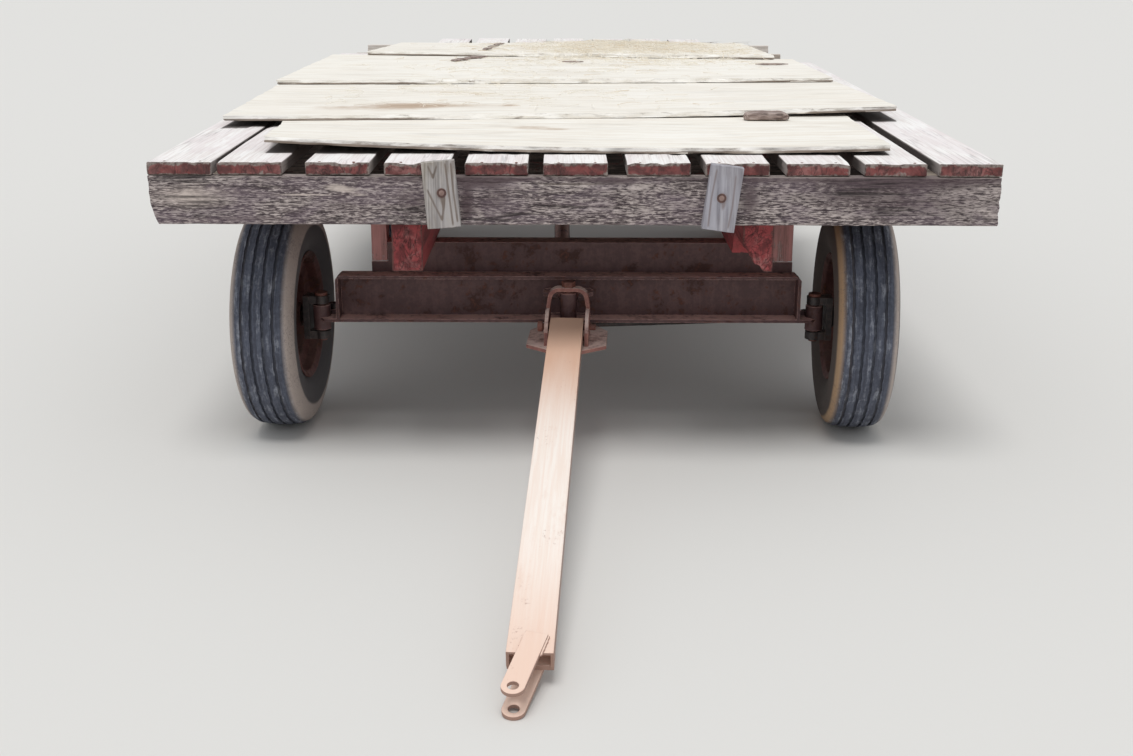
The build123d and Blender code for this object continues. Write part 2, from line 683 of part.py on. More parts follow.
# Hitch clevis: two straps with round ends, one over the web and one under a bar across both flanges
clevis_length = HITCH_REACH - TONGUE_FRONT + HITCH_LAP
with BuildPart() as straps:
    for bottom in (TONGUE_TOP, CLEVIS_BOTTOM):
        with BuildSketch(Plane.XY.offset(bottom)):
            with BuildLine():
                Line((-HITCH_RADIUS, 0), (-HITCH_RADIUS, clevis_length))
                Line((-HITCH_RADIUS, clevis_length), (HITCH_RADIUS, clevis_length))
                Line((HITCH_RADIUS, clevis_length), (HITCH_RADIUS, 0))
                ThreePointArc((HITCH_RADIUS, 0), (0, -HITCH_RADIUS), (-HITCH_RADIUS, 0))
            make_face()
            Circle(HITCH_HOLE, mode=Mode.SUBTRACT)
        extrude(amount=HITCH_PLATE)
straps_turned = straps.part.rotate(Axis((0, 0, 0), (0, 0, 1)), -HITCH_TURN)
with BuildPart() as hitch_clevis:
    add(straps_turned.translate((HITCH_OFFSET, -HITCH_REACH, 0)))
    with BuildSketch(Plane.XY.offset(flange_tip - HITCH_BAR)):
        with Locations((0, HITCH_LAP / 2 - TONGUE_FRONT)):
            Rectangle(TONGUE_WIDTH, HITCH_LAP - 14)
    extrude(amount=HITCH_BAR)
save(lowered(hitch_clevis.part), "hitch_clevis")

# Knuckles: two eyes on the kingpin, an upright plate, a spindle and a rearward steering arm
CARRIER_INNER = 36
CARRIER_THICK = 20
CARRIER_TOP = UPPER_EYE + EYE_HEIGHT
CARRIER_BACK = KINGPIN_Y + WHEEL_TRAIL + 38
for side in (-1, 1):
    pin_x = GEAR_X + side * KINGPIN_X
    carrier_face = pin_x + side * (CARRIER_INNER + CARRIER_THICK)
    with BuildPart() as knuckle:
        for eye_bottom in (LOWER_EYE, UPPER_EYE):
            with BuildSketch(Plane.XY.offset(eye_bottom)):
                with Locations((pin_x, KINGPIN_Y)):
                    Circle(EYE_RADIUS)
                with Locations((pin_x + side * (CARRIER_INNER + 4) / 2, KINGPIN_Y)):
                    Rectangle(CARRIER_INNER + 4, 2 * EYE_RADIUS - 8)
                with Locations((pin_x, KINGPIN_Y)):
                    Circle(PIN_RADIUS + FIT, mode=Mode.SUBTRACT)
            extrude(amount=EYE_HEIGHT)
        # Upright plate between the eyes
        with BuildSketch(Plane.YZ.offset(pin_x + side * CARRIER_INNER)):
            with BuildLine():
                Polyline(
                    (KINGPIN_Y - EYE_RADIUS, LOWER_EYE),
                    (KINGPIN_Y + 60, LOWER_EYE),
                    (CARRIER_BACK, TYRE_RADIUS - 21),
                    (CARRIER_BACK, TYRE_RADIUS + 26),
                    (KINGPIN_Y + 30, CARRIER_TOP),
                    (KINGPIN_Y - EYE_RADIUS, CARRIER_TOP),
                    close=True,
                )
            make_face()
        extrude(amount=side * CARRIER_THICK)
        # Steering arm
        with BuildSketch(Plane.XY.offset(PLATE_BOTTOM)):
            with BuildLine():
                Polyline(
                    (carrier_face, KINGPIN_Y + 48),
                    (carrier_face, KINGPIN_Y + 92),
                    (pin_x + side * 22, KINGPIN_Y + ARM_LENGTH),
                    (pin_x - side * 20, KINGPIN_Y + ARM_LENGTH),
                    (pin_x + side * CARRIER_INNER, KINGPIN_Y + 48),
                    close=True,
                )
            make_face()
            with Locations((pin_x, KINGPIN_Y + ARM_LENGTH)):
                Circle(22)
                Circle(ROD_BOLT_RADIUS, mode=Mode.SUBTRACT)
        extrude(amount=PLATE_THICK)
        # Spindle with its root collar
        spindle_length = SPINDLE_TIP - KINGPIN_X - CARRIER_INNER - CARRIER_THICK
        for radius, length in ((COLLAR_RADIUS - 8, COLLAR_LENGTH), (SPINDLE_RADIUS, spindle_length)):
            with BuildSketch(Plane.YZ.offset(carrier_face)):
                with Locations((WHEEL_Y, TYRE_RADIUS)):
                    Circle(radius)
            extrude(amount=side * length)
    save(steered(knuckle.part, pin_x, KINGPIN_Y), f"knuckle_{side_name(side)}")

    with BuildPart() as kingpin:
        with BuildSketch(Plane.XY.offset(PIN_BOTTOM)):
            with Locations((pin_x, KINGPIN_Y)):
                Circle(PIN_RADIUS)
        extrude(amount=PIN_LENGTH)
        with BuildSketch(Plane.XY.offset(CARRIER_TOP + 2 * FIT)):
            with Locations((pin_x, KINGPIN_Y)):
                Circle(PIN_HEAD_RADIUS)
        extrude(amount=PIN_HEAD_HEIGHT)
    save(kingpin.part, f"kingpin_{side_name(side)}")


def swung(x, y, pivot_x, pivot_y):
    """Place of a point after turning by the parked steering angle about a pivot."""
    angle = math.radians(REST_STEER)
    return (
        pivot_x + (x - pivot_x) * math.cos(angle) - (y - pivot_y) * math.sin(angle),
        pivot_y + (x - pivot_x) * math.sin(angle) + (y - pivot_y) * math.cos(angle),
    )


# Tie rods from the tail of the steering plate to the knuckle arms.
# The left rod lies over plate and arm, the right one under them, on one bolt at the tail.
tail_x, tail_y = swung(GEAR_X, KINGBOLT_Y + ARM_LENGTH, GEAR_X, KINGBOLT_Y)
for side in (-1, 1):
    pin_x = GEAR_X + side * KINGPIN_X
    arm_x, arm_y = swung(pin_x, KINGPIN_Y + ARM_LENGTH, pin_x, KINGPIN_Y)
    eye_bottom = PLATE_TOP + ROD_CLEAR if side < 0 else PLATE_BOTTOM - ROD_CLEAR - ROD_EYE_HEIGHT
    eye_middle = eye_bottom + ROD_EYE_HEIGHT / 2
    span = math.hypot(arm_x - tail_x, arm_y - tail_y)
    along = Vector((arm_x - tail_x) / span, (arm_y - tail_y) / span, 0)
    tail_eye = Vector(tail_x, tail_y, eye_middle)
    arm_eye = Vector(arm_x, arm_y, eye_middle)
    with BuildPart() as tie_rod:
        with BuildSketch(Plane(origin=tail_eye + along * ROD_NECK_START, z_dir=along)):
            Circle(ROD_RADIUS)
        extrude(amount=span - 2 * ROD_NECK_START)
        # Forged necks that thin from each eye to the rod
        for eye, inward in ((tail_eye, along), (arm_eye, along * -1)):
            with BuildSketch(Plane(origin=eye + inward * ROD_NECK_START, z_dir=inward)):
                Circle(ROD_NECK_RADIUS)
            with BuildSketch(Plane(origin=eye + inward * (ROD_NECK_START + ROD_NECK_LENGTH), z_dir=inward)):
                Circle(ROD_RADIUS - 1)
            loft()
        with BuildSketch(Plane.XY.offset(eye_bottom)):
            with Locations((tail_x, tail_y), (arm_x, arm_y)):
                Circle(ROD_EYE_RADIUS)
        extrude(amount=ROD_EYE_HEIGHT)
        with BuildSketch(Plane.XY.offset(eye_bottom)):
            with Locations((tail_x, tail_y), (arm_x, arm_y)):
                Circle(ROD_BOLT_RADIUS)
        extrude(amount=ROD_EYE_HEIGHT, mode=Mode.SUBTRACT)
    save(tie_rod.part, f"tie_rod_{side_name(side)}")

# Wheels: tyre, dished steel wheel and hub, each a turned form on the spindle's axis
# Columns: radius, distance outboard of the tyre's middle plane
half_tyre = TYRE_WIDTH / 2
tyre_section = [
    (RIM_RADIUS - 8, -72),
    (RIM_RADIUS + 8, -78),
    (RIM_RADIUS + 38, -93),
    (280, -half_tyre),
    (318, -half_tyre + 3),
    (346, -half_tyre + 14),
    (358, -half_tyre + 30),
    (TYRE_RADIUS, -52),
    (TYRE_RADIUS, 52),
    (358, half_tyre - 30),
    (346, half_tyre - 14),
    (318, half_tyre - 3),
    (280, half_tyre),
    (RIM_RADIUS + 38, 93),
    (RIM_RADIUS + 8, 78),
    (RIM_RADIUS - 8, 72),
]
rim_section = [
    (RIM_RADIUS + 6, -84),
    (RIM_RADIUS + 6, -80),
    (RIM_RADIUS - 10, -72),
    (RIM_RADIUS - 14, -40),
    (166, -26),
    (166, 20),
    (RIM_RADIUS - 14, 40),
    (RIM_RADIUS - 10, 72),
    (RIM_RADIUS + 6, 80),
    (RIM_RADIUS + 6, 84),
    (RIM_RADIUS, 84),
    (RIM_RADIUS - 16, 74),
    (RIM_RADIUS - 20, 42),
    (160, 24),
    (148, 30),
    (110, 46),
    (88, 38),
    (58, 38),
    (58, 30),
    (92, 30),
    (112, 38),
    (146, 22),
    (160, 10),
    (160, -30),
    (RIM_RADIUS - 20, -44),
    (RIM_RADIUS - 16, -74),
    (RIM_RADIUS, -84),
]
hub_section = [
    (SPINDLE_RADIUS + FIT, -58),
    (40, -58),
    (44, -30),
    (44, 18),
    (78, 20),
    (78, 30),
    (48, 30),
    (42, 62),
    (32, 76),
    (0, 80),
    (0, 60),
    (SPINDLE_RADIUS + FIT, 60),
]


def turned(section, wheel_x, wheel_y, side):
    """Turns a section about a wheel's axis; the section's second column runs outboard."""
    with BuildPart() as piece:
        with BuildSketch(Plane.XZ.offset(-wheel_y)):
            with BuildLine():
                outline = [(wheel_x + side * out, TYRE_RADIUS + radius) for radius, out in section]
                Polyline(outline, close=True)
            make_face()
        revolve(axis=Axis((wheel_x, wheel_y, TYRE_RADIUS), (1, 0, 0)), revolution_arc=360)
    return piece.part


for end, wheel_y in (("front", WHEEL_Y), ("rear", REAR_WHEEL_Y)):
    for side in (-1, 1):
        wheel_x = GEAR_X + side * WHEEL_X
        pin_x = GEAR_X + side * KINGPIN_X
        for name, section in (("tyre", tyre_section), ("wheel", rim_section), ("hub", hub_section)):
            piece = turned(section, wheel_x, wheel_y, side)
            if end == "front":
                piece = steered(piece, pin_x, KINGPIN_Y)
            save(piece, f"{name}_{end}_{side_name(side)}")
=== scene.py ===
"""Looks of a weathered flatbed hay wagon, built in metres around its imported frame."""

import json
import logging
import math
from dataclasses import dataclass, field, replace
from enum import Enum
from itertools import product

import bmesh
import bpy
import numpy as np
from mathutils import Euler, Matrix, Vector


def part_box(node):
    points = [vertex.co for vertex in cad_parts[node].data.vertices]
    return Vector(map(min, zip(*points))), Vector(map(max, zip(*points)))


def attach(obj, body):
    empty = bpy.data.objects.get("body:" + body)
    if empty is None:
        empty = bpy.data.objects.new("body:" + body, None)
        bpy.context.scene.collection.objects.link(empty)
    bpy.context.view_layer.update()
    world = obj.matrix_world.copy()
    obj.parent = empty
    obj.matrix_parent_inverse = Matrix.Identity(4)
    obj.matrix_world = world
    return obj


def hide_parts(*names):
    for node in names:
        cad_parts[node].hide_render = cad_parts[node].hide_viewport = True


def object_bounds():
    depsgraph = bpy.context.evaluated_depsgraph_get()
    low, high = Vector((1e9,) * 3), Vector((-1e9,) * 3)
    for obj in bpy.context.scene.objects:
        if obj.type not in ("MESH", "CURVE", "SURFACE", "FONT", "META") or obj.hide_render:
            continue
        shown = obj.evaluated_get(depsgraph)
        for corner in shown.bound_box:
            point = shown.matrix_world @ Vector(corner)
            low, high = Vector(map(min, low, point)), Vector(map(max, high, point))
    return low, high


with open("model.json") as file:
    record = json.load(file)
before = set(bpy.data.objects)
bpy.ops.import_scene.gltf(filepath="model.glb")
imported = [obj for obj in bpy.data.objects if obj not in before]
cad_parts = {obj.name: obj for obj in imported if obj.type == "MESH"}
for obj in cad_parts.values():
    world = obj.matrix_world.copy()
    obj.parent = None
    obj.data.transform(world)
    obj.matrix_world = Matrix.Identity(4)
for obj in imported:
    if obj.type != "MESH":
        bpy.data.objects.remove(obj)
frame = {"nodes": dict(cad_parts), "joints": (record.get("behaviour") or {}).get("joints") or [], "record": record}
CAD_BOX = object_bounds()
HIGHEST = CAD_BOX[1][2] - 0.0005

SHARP = math.radians(35)
LOG = logging.getLogger("hay_wagon")
Array = np.ndarray
Colour = tuple[float, float, float, float]
Marks = tuple[tuple[float, ...], ...]

JOINTS = {joint["name"]: joint for joint in frame["joints"]}
BODY_OF = {node: body for body, nodes in frame["record"]["behaviour"]["bodies"].items() for node in nodes}


class Grain(Enum):
    """Way that a board's fibres run, as the number of a world axis."""

    ACROSS = 0
    ALONG = 1
    UPRIGHT = 2


# Noise and surfaces


def lattice_numbers(cells: Array, seed: int) -> Array:
    """Gives each whole-numbered cell a fixed number from 0 to 1, by multiplying and folding its bits.

    Args:
        cells: Whole coordinates, shaped (..., 3).
        seed: Which set of numbers is used.

    Returns:
        One number for each cell.
    """
    whole = cells.astype(np.int64).astype(np.uint32)
    mixed = (whole[..., 0] * np.uint32(73856093)) ^ (whole[..., 1] * np.uint32(19349663))
    mixed ^= (whole[..., 2] * np.uint32(83492791)) ^ np.uint32(seed * 7919 + 17)
    for shift, factor in ((15, 2246822519), (13, 3266489917)):
        mixed = (mixed ^ (mixed >> np.uint32(shift))) * np.uint32(factor)
    return (mixed ^ (mixed >> np.uint32(16))) / 2.0**32


def value_noise(points: Array, seed: int) -> Array:
    """Noise from -1 to 1: numbers on a unit lattice, blended along each axis by 3t² - 2t³.

    Args:
        points: Places in lattice units, shaped (..., 3).
        seed: Which noise is used.

    Returns:
        One value for each place.
    """
    cell = np.floor(points)
    part = points - cell
    part = part * part * (3 - 2 * part)
    total = np.zeros(points.shape[:-1])
    for corner in product((0, 1), repeat=3):
        weight = np.prod(np.where(corner, part, 1 - part), axis=-1)
        total += weight * lattice_numbers(cell + corner, seed)
    return 2 * total - 1


def layered_noise(points: Array, seed: int, layers: int = 3) -> Array:
    """Sum of noises, each twice as fine and half as strong as the one before, scaled to about -1 to 1.

    Args:
        points: Places in the coarsest layer's lattice units, shaped (..., 3).
        seed: Which noise is used.
        layers: How many are summed.

    Returns:
        One value for each place.
    """
    total = sum(value_noise(points * 2**layer, seed + layer) / 2**layer for layer in range(layers))
    return total / (2 - 0.5 ** (layers - 1))


@dataclass
class Surface:
    """A closed skin: its points, its faces grouped by their number of corners, and values at its points."""

    points: Array
    faces: list[Array]
    values: dict[str, Array] = field(default_factory=dict)

    def outward(self) -> "Surface":
        """Turns all faces round if the signed volume that they close is negative, and returns the surface."""
        volume = 0.0
        for group in self.faces:
            first = self.points[group[:, 0]]
            for corner in range(1, group.shape[1] - 1):
                second, third = self.points[group[:, corner]], self.points[group[:, corner + 1]]
                volume += np.einsum("ij,ij->", first, np.cross(second, third))
        if volume < 0:
            self.faces = [group[:, ::-1] for group in self.faces]
        return self


def joined(surfaces: list[Surface]) -> Surface:
    """Puts several surfaces into one, with each one's points numbered after those before it.

    Args:
        surfaces: The surfaces, which carry the same named values.

    Returns:
        The surface that holds them all.
    """
    starts = np.cumsum([0] + [len(surface.points) for surface in surfaces[:-1]])
    faces = [group + start for surface, start in zip(surfaces, starts) for group in surface.faces]
    names = surfaces[0].values
    values = {name: np.concatenate([surface.values[name] for surface in surfaces]) for name in names}
    return Surface(np.concatenate([surface.points for surface in surfaces]), faces, values)


def new_object(name: str, data: bpy.types.ID) -> bpy.types.Object:
    """Makes an object of some data and links it to the scene."""
    made = bpy.data.objects.new(name, data)
    bpy.context.scene.collection.objects.link(made)
    return made


def add_piece(
    name: str,
    surface: Surface,
    material: bpy.types.Material,
    body: str,
    replaced: tuple[str, ...] = (),
    crease: float = 40,
) -> None:
    """Makes a surface into an object that rides on a body of the frame.

    Args:
        name: The piece's name.
        surface: Its skin, in place.
        material: Its finish.
        body: The body that it moves with.
        replaced: Frame nodes that it stands for.
        crease: Angle in degrees over which an edge stays sharp.
    """
    mesh = bpy.data.meshes.new(name)
    corners = np.concatenate([group.ravel() for group in surface.faces])
    sizes = np.concatenate([np.full(len(group), group.shape[1]) for group in surface.faces])
    mesh.vertices.add(len(surface.points))
    mesh.vertices.foreach_set("co", surface.points.astype(np.float32).ravel())
    mesh.loops.add(len(corners))
    mesh.polygons.add(len(sizes))
    mesh.polygons.foreach_set("loop_start", (np.cumsum(sizes) - sizes).astype(np.int32))
    mesh.polygons.foreach_set("vertices", corners.astype(np.int32))
    mesh.update(calc_edges=True)
    for label, numbers in surface.values.items():
        mesh.attributes.new(label, "FLOAT", "POINT").data.foreach_set("value", numbers.astype(np.float32))
    mesh.shade_smooth()
    mesh.set_sharp_from_angle(angle=math.radians(crease))
    mesh.materials.append(material)
    made = new_object(name, mesh)
    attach(made, body)
    if replaced:
        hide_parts(*replaced)
    LOG.info("%s: %d faces on %s", name, len(sizes), body)


def softened(node: str, material: bpy.types.Material, width: float = 0.0012) -> None:
    """Stands a copy of a frame node in its place, with its triangles joined and its sharp edges rounded.

    Args:
        node: The node's name.
        material: The copy's finish.
        width: Width of the rounding.
    """
    mesh = frame["nodes"][node].data.copy()
    shell = bmesh.new()
    shell.from_mesh(mesh)
    bmesh.ops.remove_doubles(shell, verts=shell.verts, dist=1e-5)
    bmesh.ops.dissolve_limit(shell, angle_limit=math.radians(0.8), verts=shell.verts, edges=shell.edges)
    shell.to_mesh(mesh)
    shell.free()
    mesh.materials.clear()
    mesh.materials.append(material)
    mesh.shade_smooth()
    mesh.set_sharp_from_angle(angle=SHARP)
    made = new_object(f"soft_{node}", mesh)
    rounding = made.modifiers.new("rounding", "BEVEL")
    rounding.width = width
    rounding.segments = 2
    rounding.limit_method = "ANGLE"
    rounding.angle_limit = SHARP
    rounding.use_clamp_overlap = True
    rounding.harden_normals = True
    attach(made, BODY_OF[node])
    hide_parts(node)
    LOG.info("%s: rounded copy on %s", made.name, BODY_OF[node])


def node_points(node: str) -> Array:
    """Reads the places of a frame node's points."""
    mesh = frame["nodes"][node].data
    points = np.empty(len(mesh.vertices) * 3)
    mesh.vertices.foreach_get("co", points)
    return points.reshape(-1, 3)


def part_spans(node: str, axis: int) -> list[tuple[float, float]]:
    """Where each loose part of a frame node starts and ends along an axis."""
    ends = np.unique(np.round(node_points(node)[:, axis], 4))
    return list(zip(ends[::2], ends[1::2]))


def box_shell(stations: list[Array]) -> tuple[Array, Array]:
    """Closed skin of a box, cut along the given stations of its three axes.

    Args:
        stations: Rising coordinates along each axis.

    Returns:
        The points, and the four-cornered faces that point outwards.
    """
    counts = [len(line) for line in stations]
    places = np.stack(np.meshgrid(*stations, indexing="ij"), axis=-1)
    on_shell = np.zeros(counts, bool)
    for axis, index in enumerate(np.indices(counts)):
        on_shell |= (index == 0) | (index == counts[axis] - 1)
    number = np.full(counts, -1)
    number[on_shell] = np.arange(on_shell.sum())
    quads = []
    for axis, end in product(range(3), (0, -1)):
        side = np.take(number, end, axis=axis)
        quad = np.stack([side[:-1, :-1], side[1:, :-1], side[1:, 1:], side[:-1, 1:]], axis=-1).reshape(-1, 4)
        quads.append(quad[:, ::-1] if (end == 0) != (axis == 1) else quad)
    return places[on_shell], np.concatenate(quads)


def side_stations(
    length: float, step: float, wear: float, fine_reach: float = 0, fine_step: float = 0
) -> Array:
    """Cuts a side into steps.

    Args:
        length: The side's length.
        step: Length of an even step.
        wear: Size of the worn edge at each end, which gets closer steps.
        fine_reach: How far from the low end finer steps go.
        fine_step: Length of a finer step.

    Returns:
        The places of the cuts.
    """
    edge = np.array([0.0, 0.25, 0.6]) * wear
    fine = np.arange(wear, fine_reach, fine_step) if fine_reach else np.zeros(0)
    start = max(wear, fine_reach)
    middle = np.linspace(start, length - wear, max(2, round((length - wear - start) / step) + 1))
    return np.concatenate([edge, fine, middle, length - edge[::-1]])


def ring_faces(rows: int, columns: int, close_rows: bool) -> Array:
    """Four-cornered faces of a grid whose columns, and if asked its rows, join up into rings."""
    number = np.arange(rows * columns).reshape(rows, columns)
    number = np.concatenate([number, number[:, :1]], axis=1)
    if close_rows:
        number = np.concatenate([number, number[:1]], axis=0)
    quad = np.stack([number[:-1, :-1], number[1:, :-1], number[1:, 1:], number[:-1, 1:]], axis=-1)
    return quad.reshape(-1, 4)


def unit(vector: Array) -> Array:
    """Scales vectors to length one."""
    return vector / np.maximum(np.linalg.norm(vector, axis=-1, keepdims=True), 1e-9)


def square_to(direction: Array) -> tuple[Array, Array]:
    """Two unit vectors at right angles to a direction and to each other."""
    helper = np.array([0.0, 0.0, 1.0]) if abs(direction[2]) < 0.9 else np.array([0.0, 1.0, 0.0])
    first = unit(np.cross(direction, helper))
    return first, np.cross(direction, first)


def circle(first: Array, second: Array, sides: int, turn: float = 0) -> Array:
    """Unit vectors spread evenly round a centre, from the first of two square directions to the second."""
    angle = (np.linspace(0, 2 * math.pi, sides, endpoint=False) + turn)[:, None]
    return np.cos(angle) * first + np.sin(angle) * second


def tube(rings: Array, poles: Array) -> Surface:
    """Closes a row of rings with a pole before the first ring and one after the last.

    Args:
        rings: Places, shaped (rings, sides, 3).
        poles: The two poles.

    Returns:
        The closed skin.
    """
    count, sides = rings.shape[:2]
    column = np.arange(sides)
    following = (column + 1) % sides
    start, last = np.full(sides, count * sides), (count - 1) * sides
    caps = [
        np.stack([start, following, column], axis=-1),
        np.stack([start + 1, last + column, last + following], axis=-1),
    ]
    points = np.concatenate([rings.reshape(-1, 3), poles])
    return Surface(points, [ring_faces(count, sides, False)] + caps).outward()


def rounded_rod(start: Array, direction: Array, profile: Array, sides: int, turn: float = 0) -> Surface:
    """Turns an open profile, which starts and ends on the axis, about a line.

    Args:
        start: Where the profile's zero is.
        direction: Unit vector along the line.
        profile: Columns are the distance along the line and the radius; its ends have radius zero.
        sides: Number of points round the line.
        turn: Angle in radians of the first point.

    Returns:
        The closed skin: rings between two poles.
    """
    around = circle(*square_to(direction), sides, turn)
    inner = profile[1:-1]
    rings = start + inner[:, None, :1] * direction + inner[:, None, 1:] * around
    return tube(rings, start + profile[[0, -1], :1] * direction)


def rotation(axis: int, angle: float) -> Array:
    """Matrix that turns places by an angle in radians about a world axis."""
    first, second = (axis + 1) % 3, (axis + 2) % 3
    matrix = np.eye(3)
    matrix[first, first] = matrix[second, second] = math.cos(angle)
    matrix[second, first] = math.sin(angle)
    matrix[first, second] = -math.sin(angle)
    return matrix


# Materials


def srgb(red: float, green: float, blue: float) -> Colour:
    """Colour from screen values of 0 to 255, as the linear light that a shader takes."""
    parts = (value / 255 for value in (red, green, blue))
    return (*(part / 12.92 if part < 0.04045 else ((part + 0.055) / 1.055) ** 2.4 for part in parts), 1.0)


class Field:
    """A number that varies over a surface: a node's output, with Python's arithmetic."""

    def __init__(self, graph: "Graph", socket: bpy.types.NodeSocket) -> None:
        """Wraps an output of a node in a graph."""
        self.graph = graph
        self.socket = socket

    def maths(
        self, operation: str, *others: "Field | float", swap: bool = False, clamp: bool = False
    ) -> "Field":
        """Adds a Math node on this value and others.

        Args:
            operation: The node's operation.
            others: The other operands.
            swap: Whether this value is the second operand.
            clamp: Whether the result is kept from 0 to 1.

        Returns:
            The node's output.
        """
        operands = dict(enumerate([*others, self] if swap else [self, *others]))
        made = self.graph.node("ShaderNodeMath", {"operation": operation, "use_clamp": clamp}, operands)
        return Field(self.graph, made.outputs[0])

    def __add__(self, other: "Field | float") -> "Field":
        """Sum."""
        return self.maths("ADD", other)

    __radd__ = __add__

    def __mul__(self, other: "Field | float") -> "Field":
        """Product."""
        return self.maths("MULTIPLY", other)

    __rmul__ = __mul__

    def __sub__(self, other: "Field | float") -> "Field":
        """Difference."""
        return self.maths("SUBTRACT", other)

    def __rsub__(self, other: float) -> "Field":
        """Difference from a number."""
        return self.maths("SUBTRACT", other, swap=True)

    def __abs__(self) -> "Field":
        """Size without sign."""
        return self.maths("ABSOLUTE")

    def clamped(self) -> "Field":
        """This value kept from 0 to 1."""
        return self.maths("ADD", 0.0, clamp=True)

    def rising(self, low: float, high: float) -> "Field":
        """Smooth step: 0 below the low value and 1 above the high one."""
        made = self.graph.node(
            "ShaderNodeMapRange",
            {"interpolation_type": "SMOOTHSTEP"},
            {"Value": self, "From Min": low, "From Max": high},
        )
        return Field(self.graph, made.outputs[0])


class Graph:
    """One material's nodes, ending in a Principled shader."""

    def __init__(self, name: str, colour: object = None) -> None:
        """Starts a material with its shader, its object coordinates and its undermost colour."""
        self.colour = colour
        self.material = bpy.data.materials.new(name)
        self.material.use_nodes = True
        self.tree = self.material.node_tree
        self.tree.nodes.clear()
        output = self.node("ShaderNodeOutputMaterial")
        self.shader = self.node("ShaderNodeBsdfPrincipled")
        self.tree.links.new(self.shader.outputs[0], output.inputs[0])
        self.coordinates = self.node("ShaderNodeTexCoord")
        self.place = self.coordinates.outputs["Object"]

    def node(self, kind: str, settings: dict | None = None, sockets: dict | None = None) -> bpy.types.Node:
        """Adds a node.

        Args:
            kind: The node's type.
            settings: Its own properties, set first.
            sockets: Values or links for its inputs, by name or number.

        Returns:
            The node.
        """
        made = self.tree.nodes.new(kind)
        for name, value in (settings or {}).items():
            setattr(made, name, value)
        for name, value in (sockets or {}).items():
            self.feed(made.inputs[name], value)
        return made

    def feed(self, socket: bpy.types.NodeSocket, value: object) -> None:
        """Links a varying value to a socket, or sets the socket to a constant."""
        source = value.socket if isinstance(value, Field) else value
        if isinstance(source, bpy.types.NodeSocket):
            self.tree.links.new(source, socket)
        else:
            socket.default_value = source

    def noise(
        self, scale: float | tuple[float, float, float], detail: float = 4, rough: float = 0.55,
        warp: float = 0,
    ) -> Field:
        """Noise on the object's coordinates, stretched by its own scale along each axis.

        Args:
            scale: Features in a metre, one number or one along each axis.
            detail: Number of finer layers.
            rough: Strength of the finer layers.
            warp: How far the pattern is pushed about.

        Returns:
            The noise, about 0.3 to 0.7.
        """
        sizes = scale if isinstance(scale, tuple) else (scale,) * 3
        stretched = self.node("ShaderNodeMapping", None, {"Vector": self.place, "Scale": sizes})
        return self.noise_at(stretched, detail, rough, warp)

    def noise_at(self, place: bpy.types.Node, detail: float, rough: float, warp: float = 0) -> Field:
        """Noise at the places that a node gives, with the same numbers as for noise."""
        sockets = {"Vector": place.outputs[0], "Scale": 1.0}
        sockets |= {"Detail": detail, "Roughness": rough, "Distortion": warp}
        return Field(self, self.node("ShaderNodeTexNoise", None, sockets).outputs[0])

    def turn(self, x: float, z: float) -> None:
        """Turns the patterns made from here on, in radians about the upright axis and then about X."""
        for angles in ((0, 0, z), (x, 0, 0)):
            turned = self.node("ShaderNodeMapping", None, {"Vector": self.place, "Rotation": angles})
            self.place = turned.outputs[0]

    def coordinate(self, axis: int) -> Field:
        """Place along one axis, in metres."""
        parts = self.node("ShaderNodeSeparateXYZ", None, {0: self.place})
        return Field(self, parts.outputs[axis])

    def edges(self, reach: float) -> Field:
        """How near a sharp edge is: the surface's normal against one smoothed over a reach in metres."""
        smooth = self.node("ShaderNodeBevel", {"samples": 4}, {"Radius": reach})
        surface = self.node("ShaderNodeNewGeometry")
        facing = self.node(
            "ShaderNodeVectorMath",
            {"operation": "DOT_PRODUCT"},
            {0: smooth.outputs[0], 1: surface.outputs["Normal"]},
        )
        return (1 - Field(self, facing.outputs["Value"])).rising(0.02, 0.16)

    def attribute(self, name: str) -> Field:
        """Value that the mesh holds at its points."""
        made = self.node("ShaderNodeAttribute", {"attribute_name": name})
        return Field(self, made.outputs["Fac"])

    def facing_up(self) -> Field:
        """Upward part of the surface's own direction."""
        parts = self.node("ShaderNodeSeparateXYZ", None, {0: self.coordinates.outputs["Normal"]})
        return Field(self, parts.outputs[2])

    def mix(self, first: object, second: object, share: Field | float) -> bpy.types.NodeSocket:
        """Blends two colours.

        Args:
            first: Colour, or a link to one, where the share is 0.
            second: Colour, or a link to one, where the share is 1.
            share: How much of the second shows.

        Returns:
            The blended colour's socket.
        """
        made = self.node("ShaderNodeMix", {"data_type": "RGBA"}, {0: share, 6: first, 7: second})
        return made.outputs[2]

    def lay(self, colour: object, share: Field | float) -> None:
        """Lays a colour over the ones laid before it, by the share of it that shows."""
        self.colour = self.mix(self.colour, colour, share)

    def finish(self, roughness: Field | float, height: Field, depth: float) -> bpy.types.Material:
        """Connects the shader to the colour as laid.

        Args:
            roughness: Roughness.
            height: Relief from 0 to 1.
            depth: What a height of 1 stands for, in metres.

        Returns:
            The material.
        """
        bump = self.node("ShaderNodeBump", None, {"Strength": 1.0, "Distance": depth, "Height": height})
        self.feed(self.shader.inputs["Base Color"], self.colour)
        self.feed(self.shader.inputs["Roughness"], roughness)
        self.feed(self.shader.inputs["Normal"], bump.outputs[0])
        return self.material


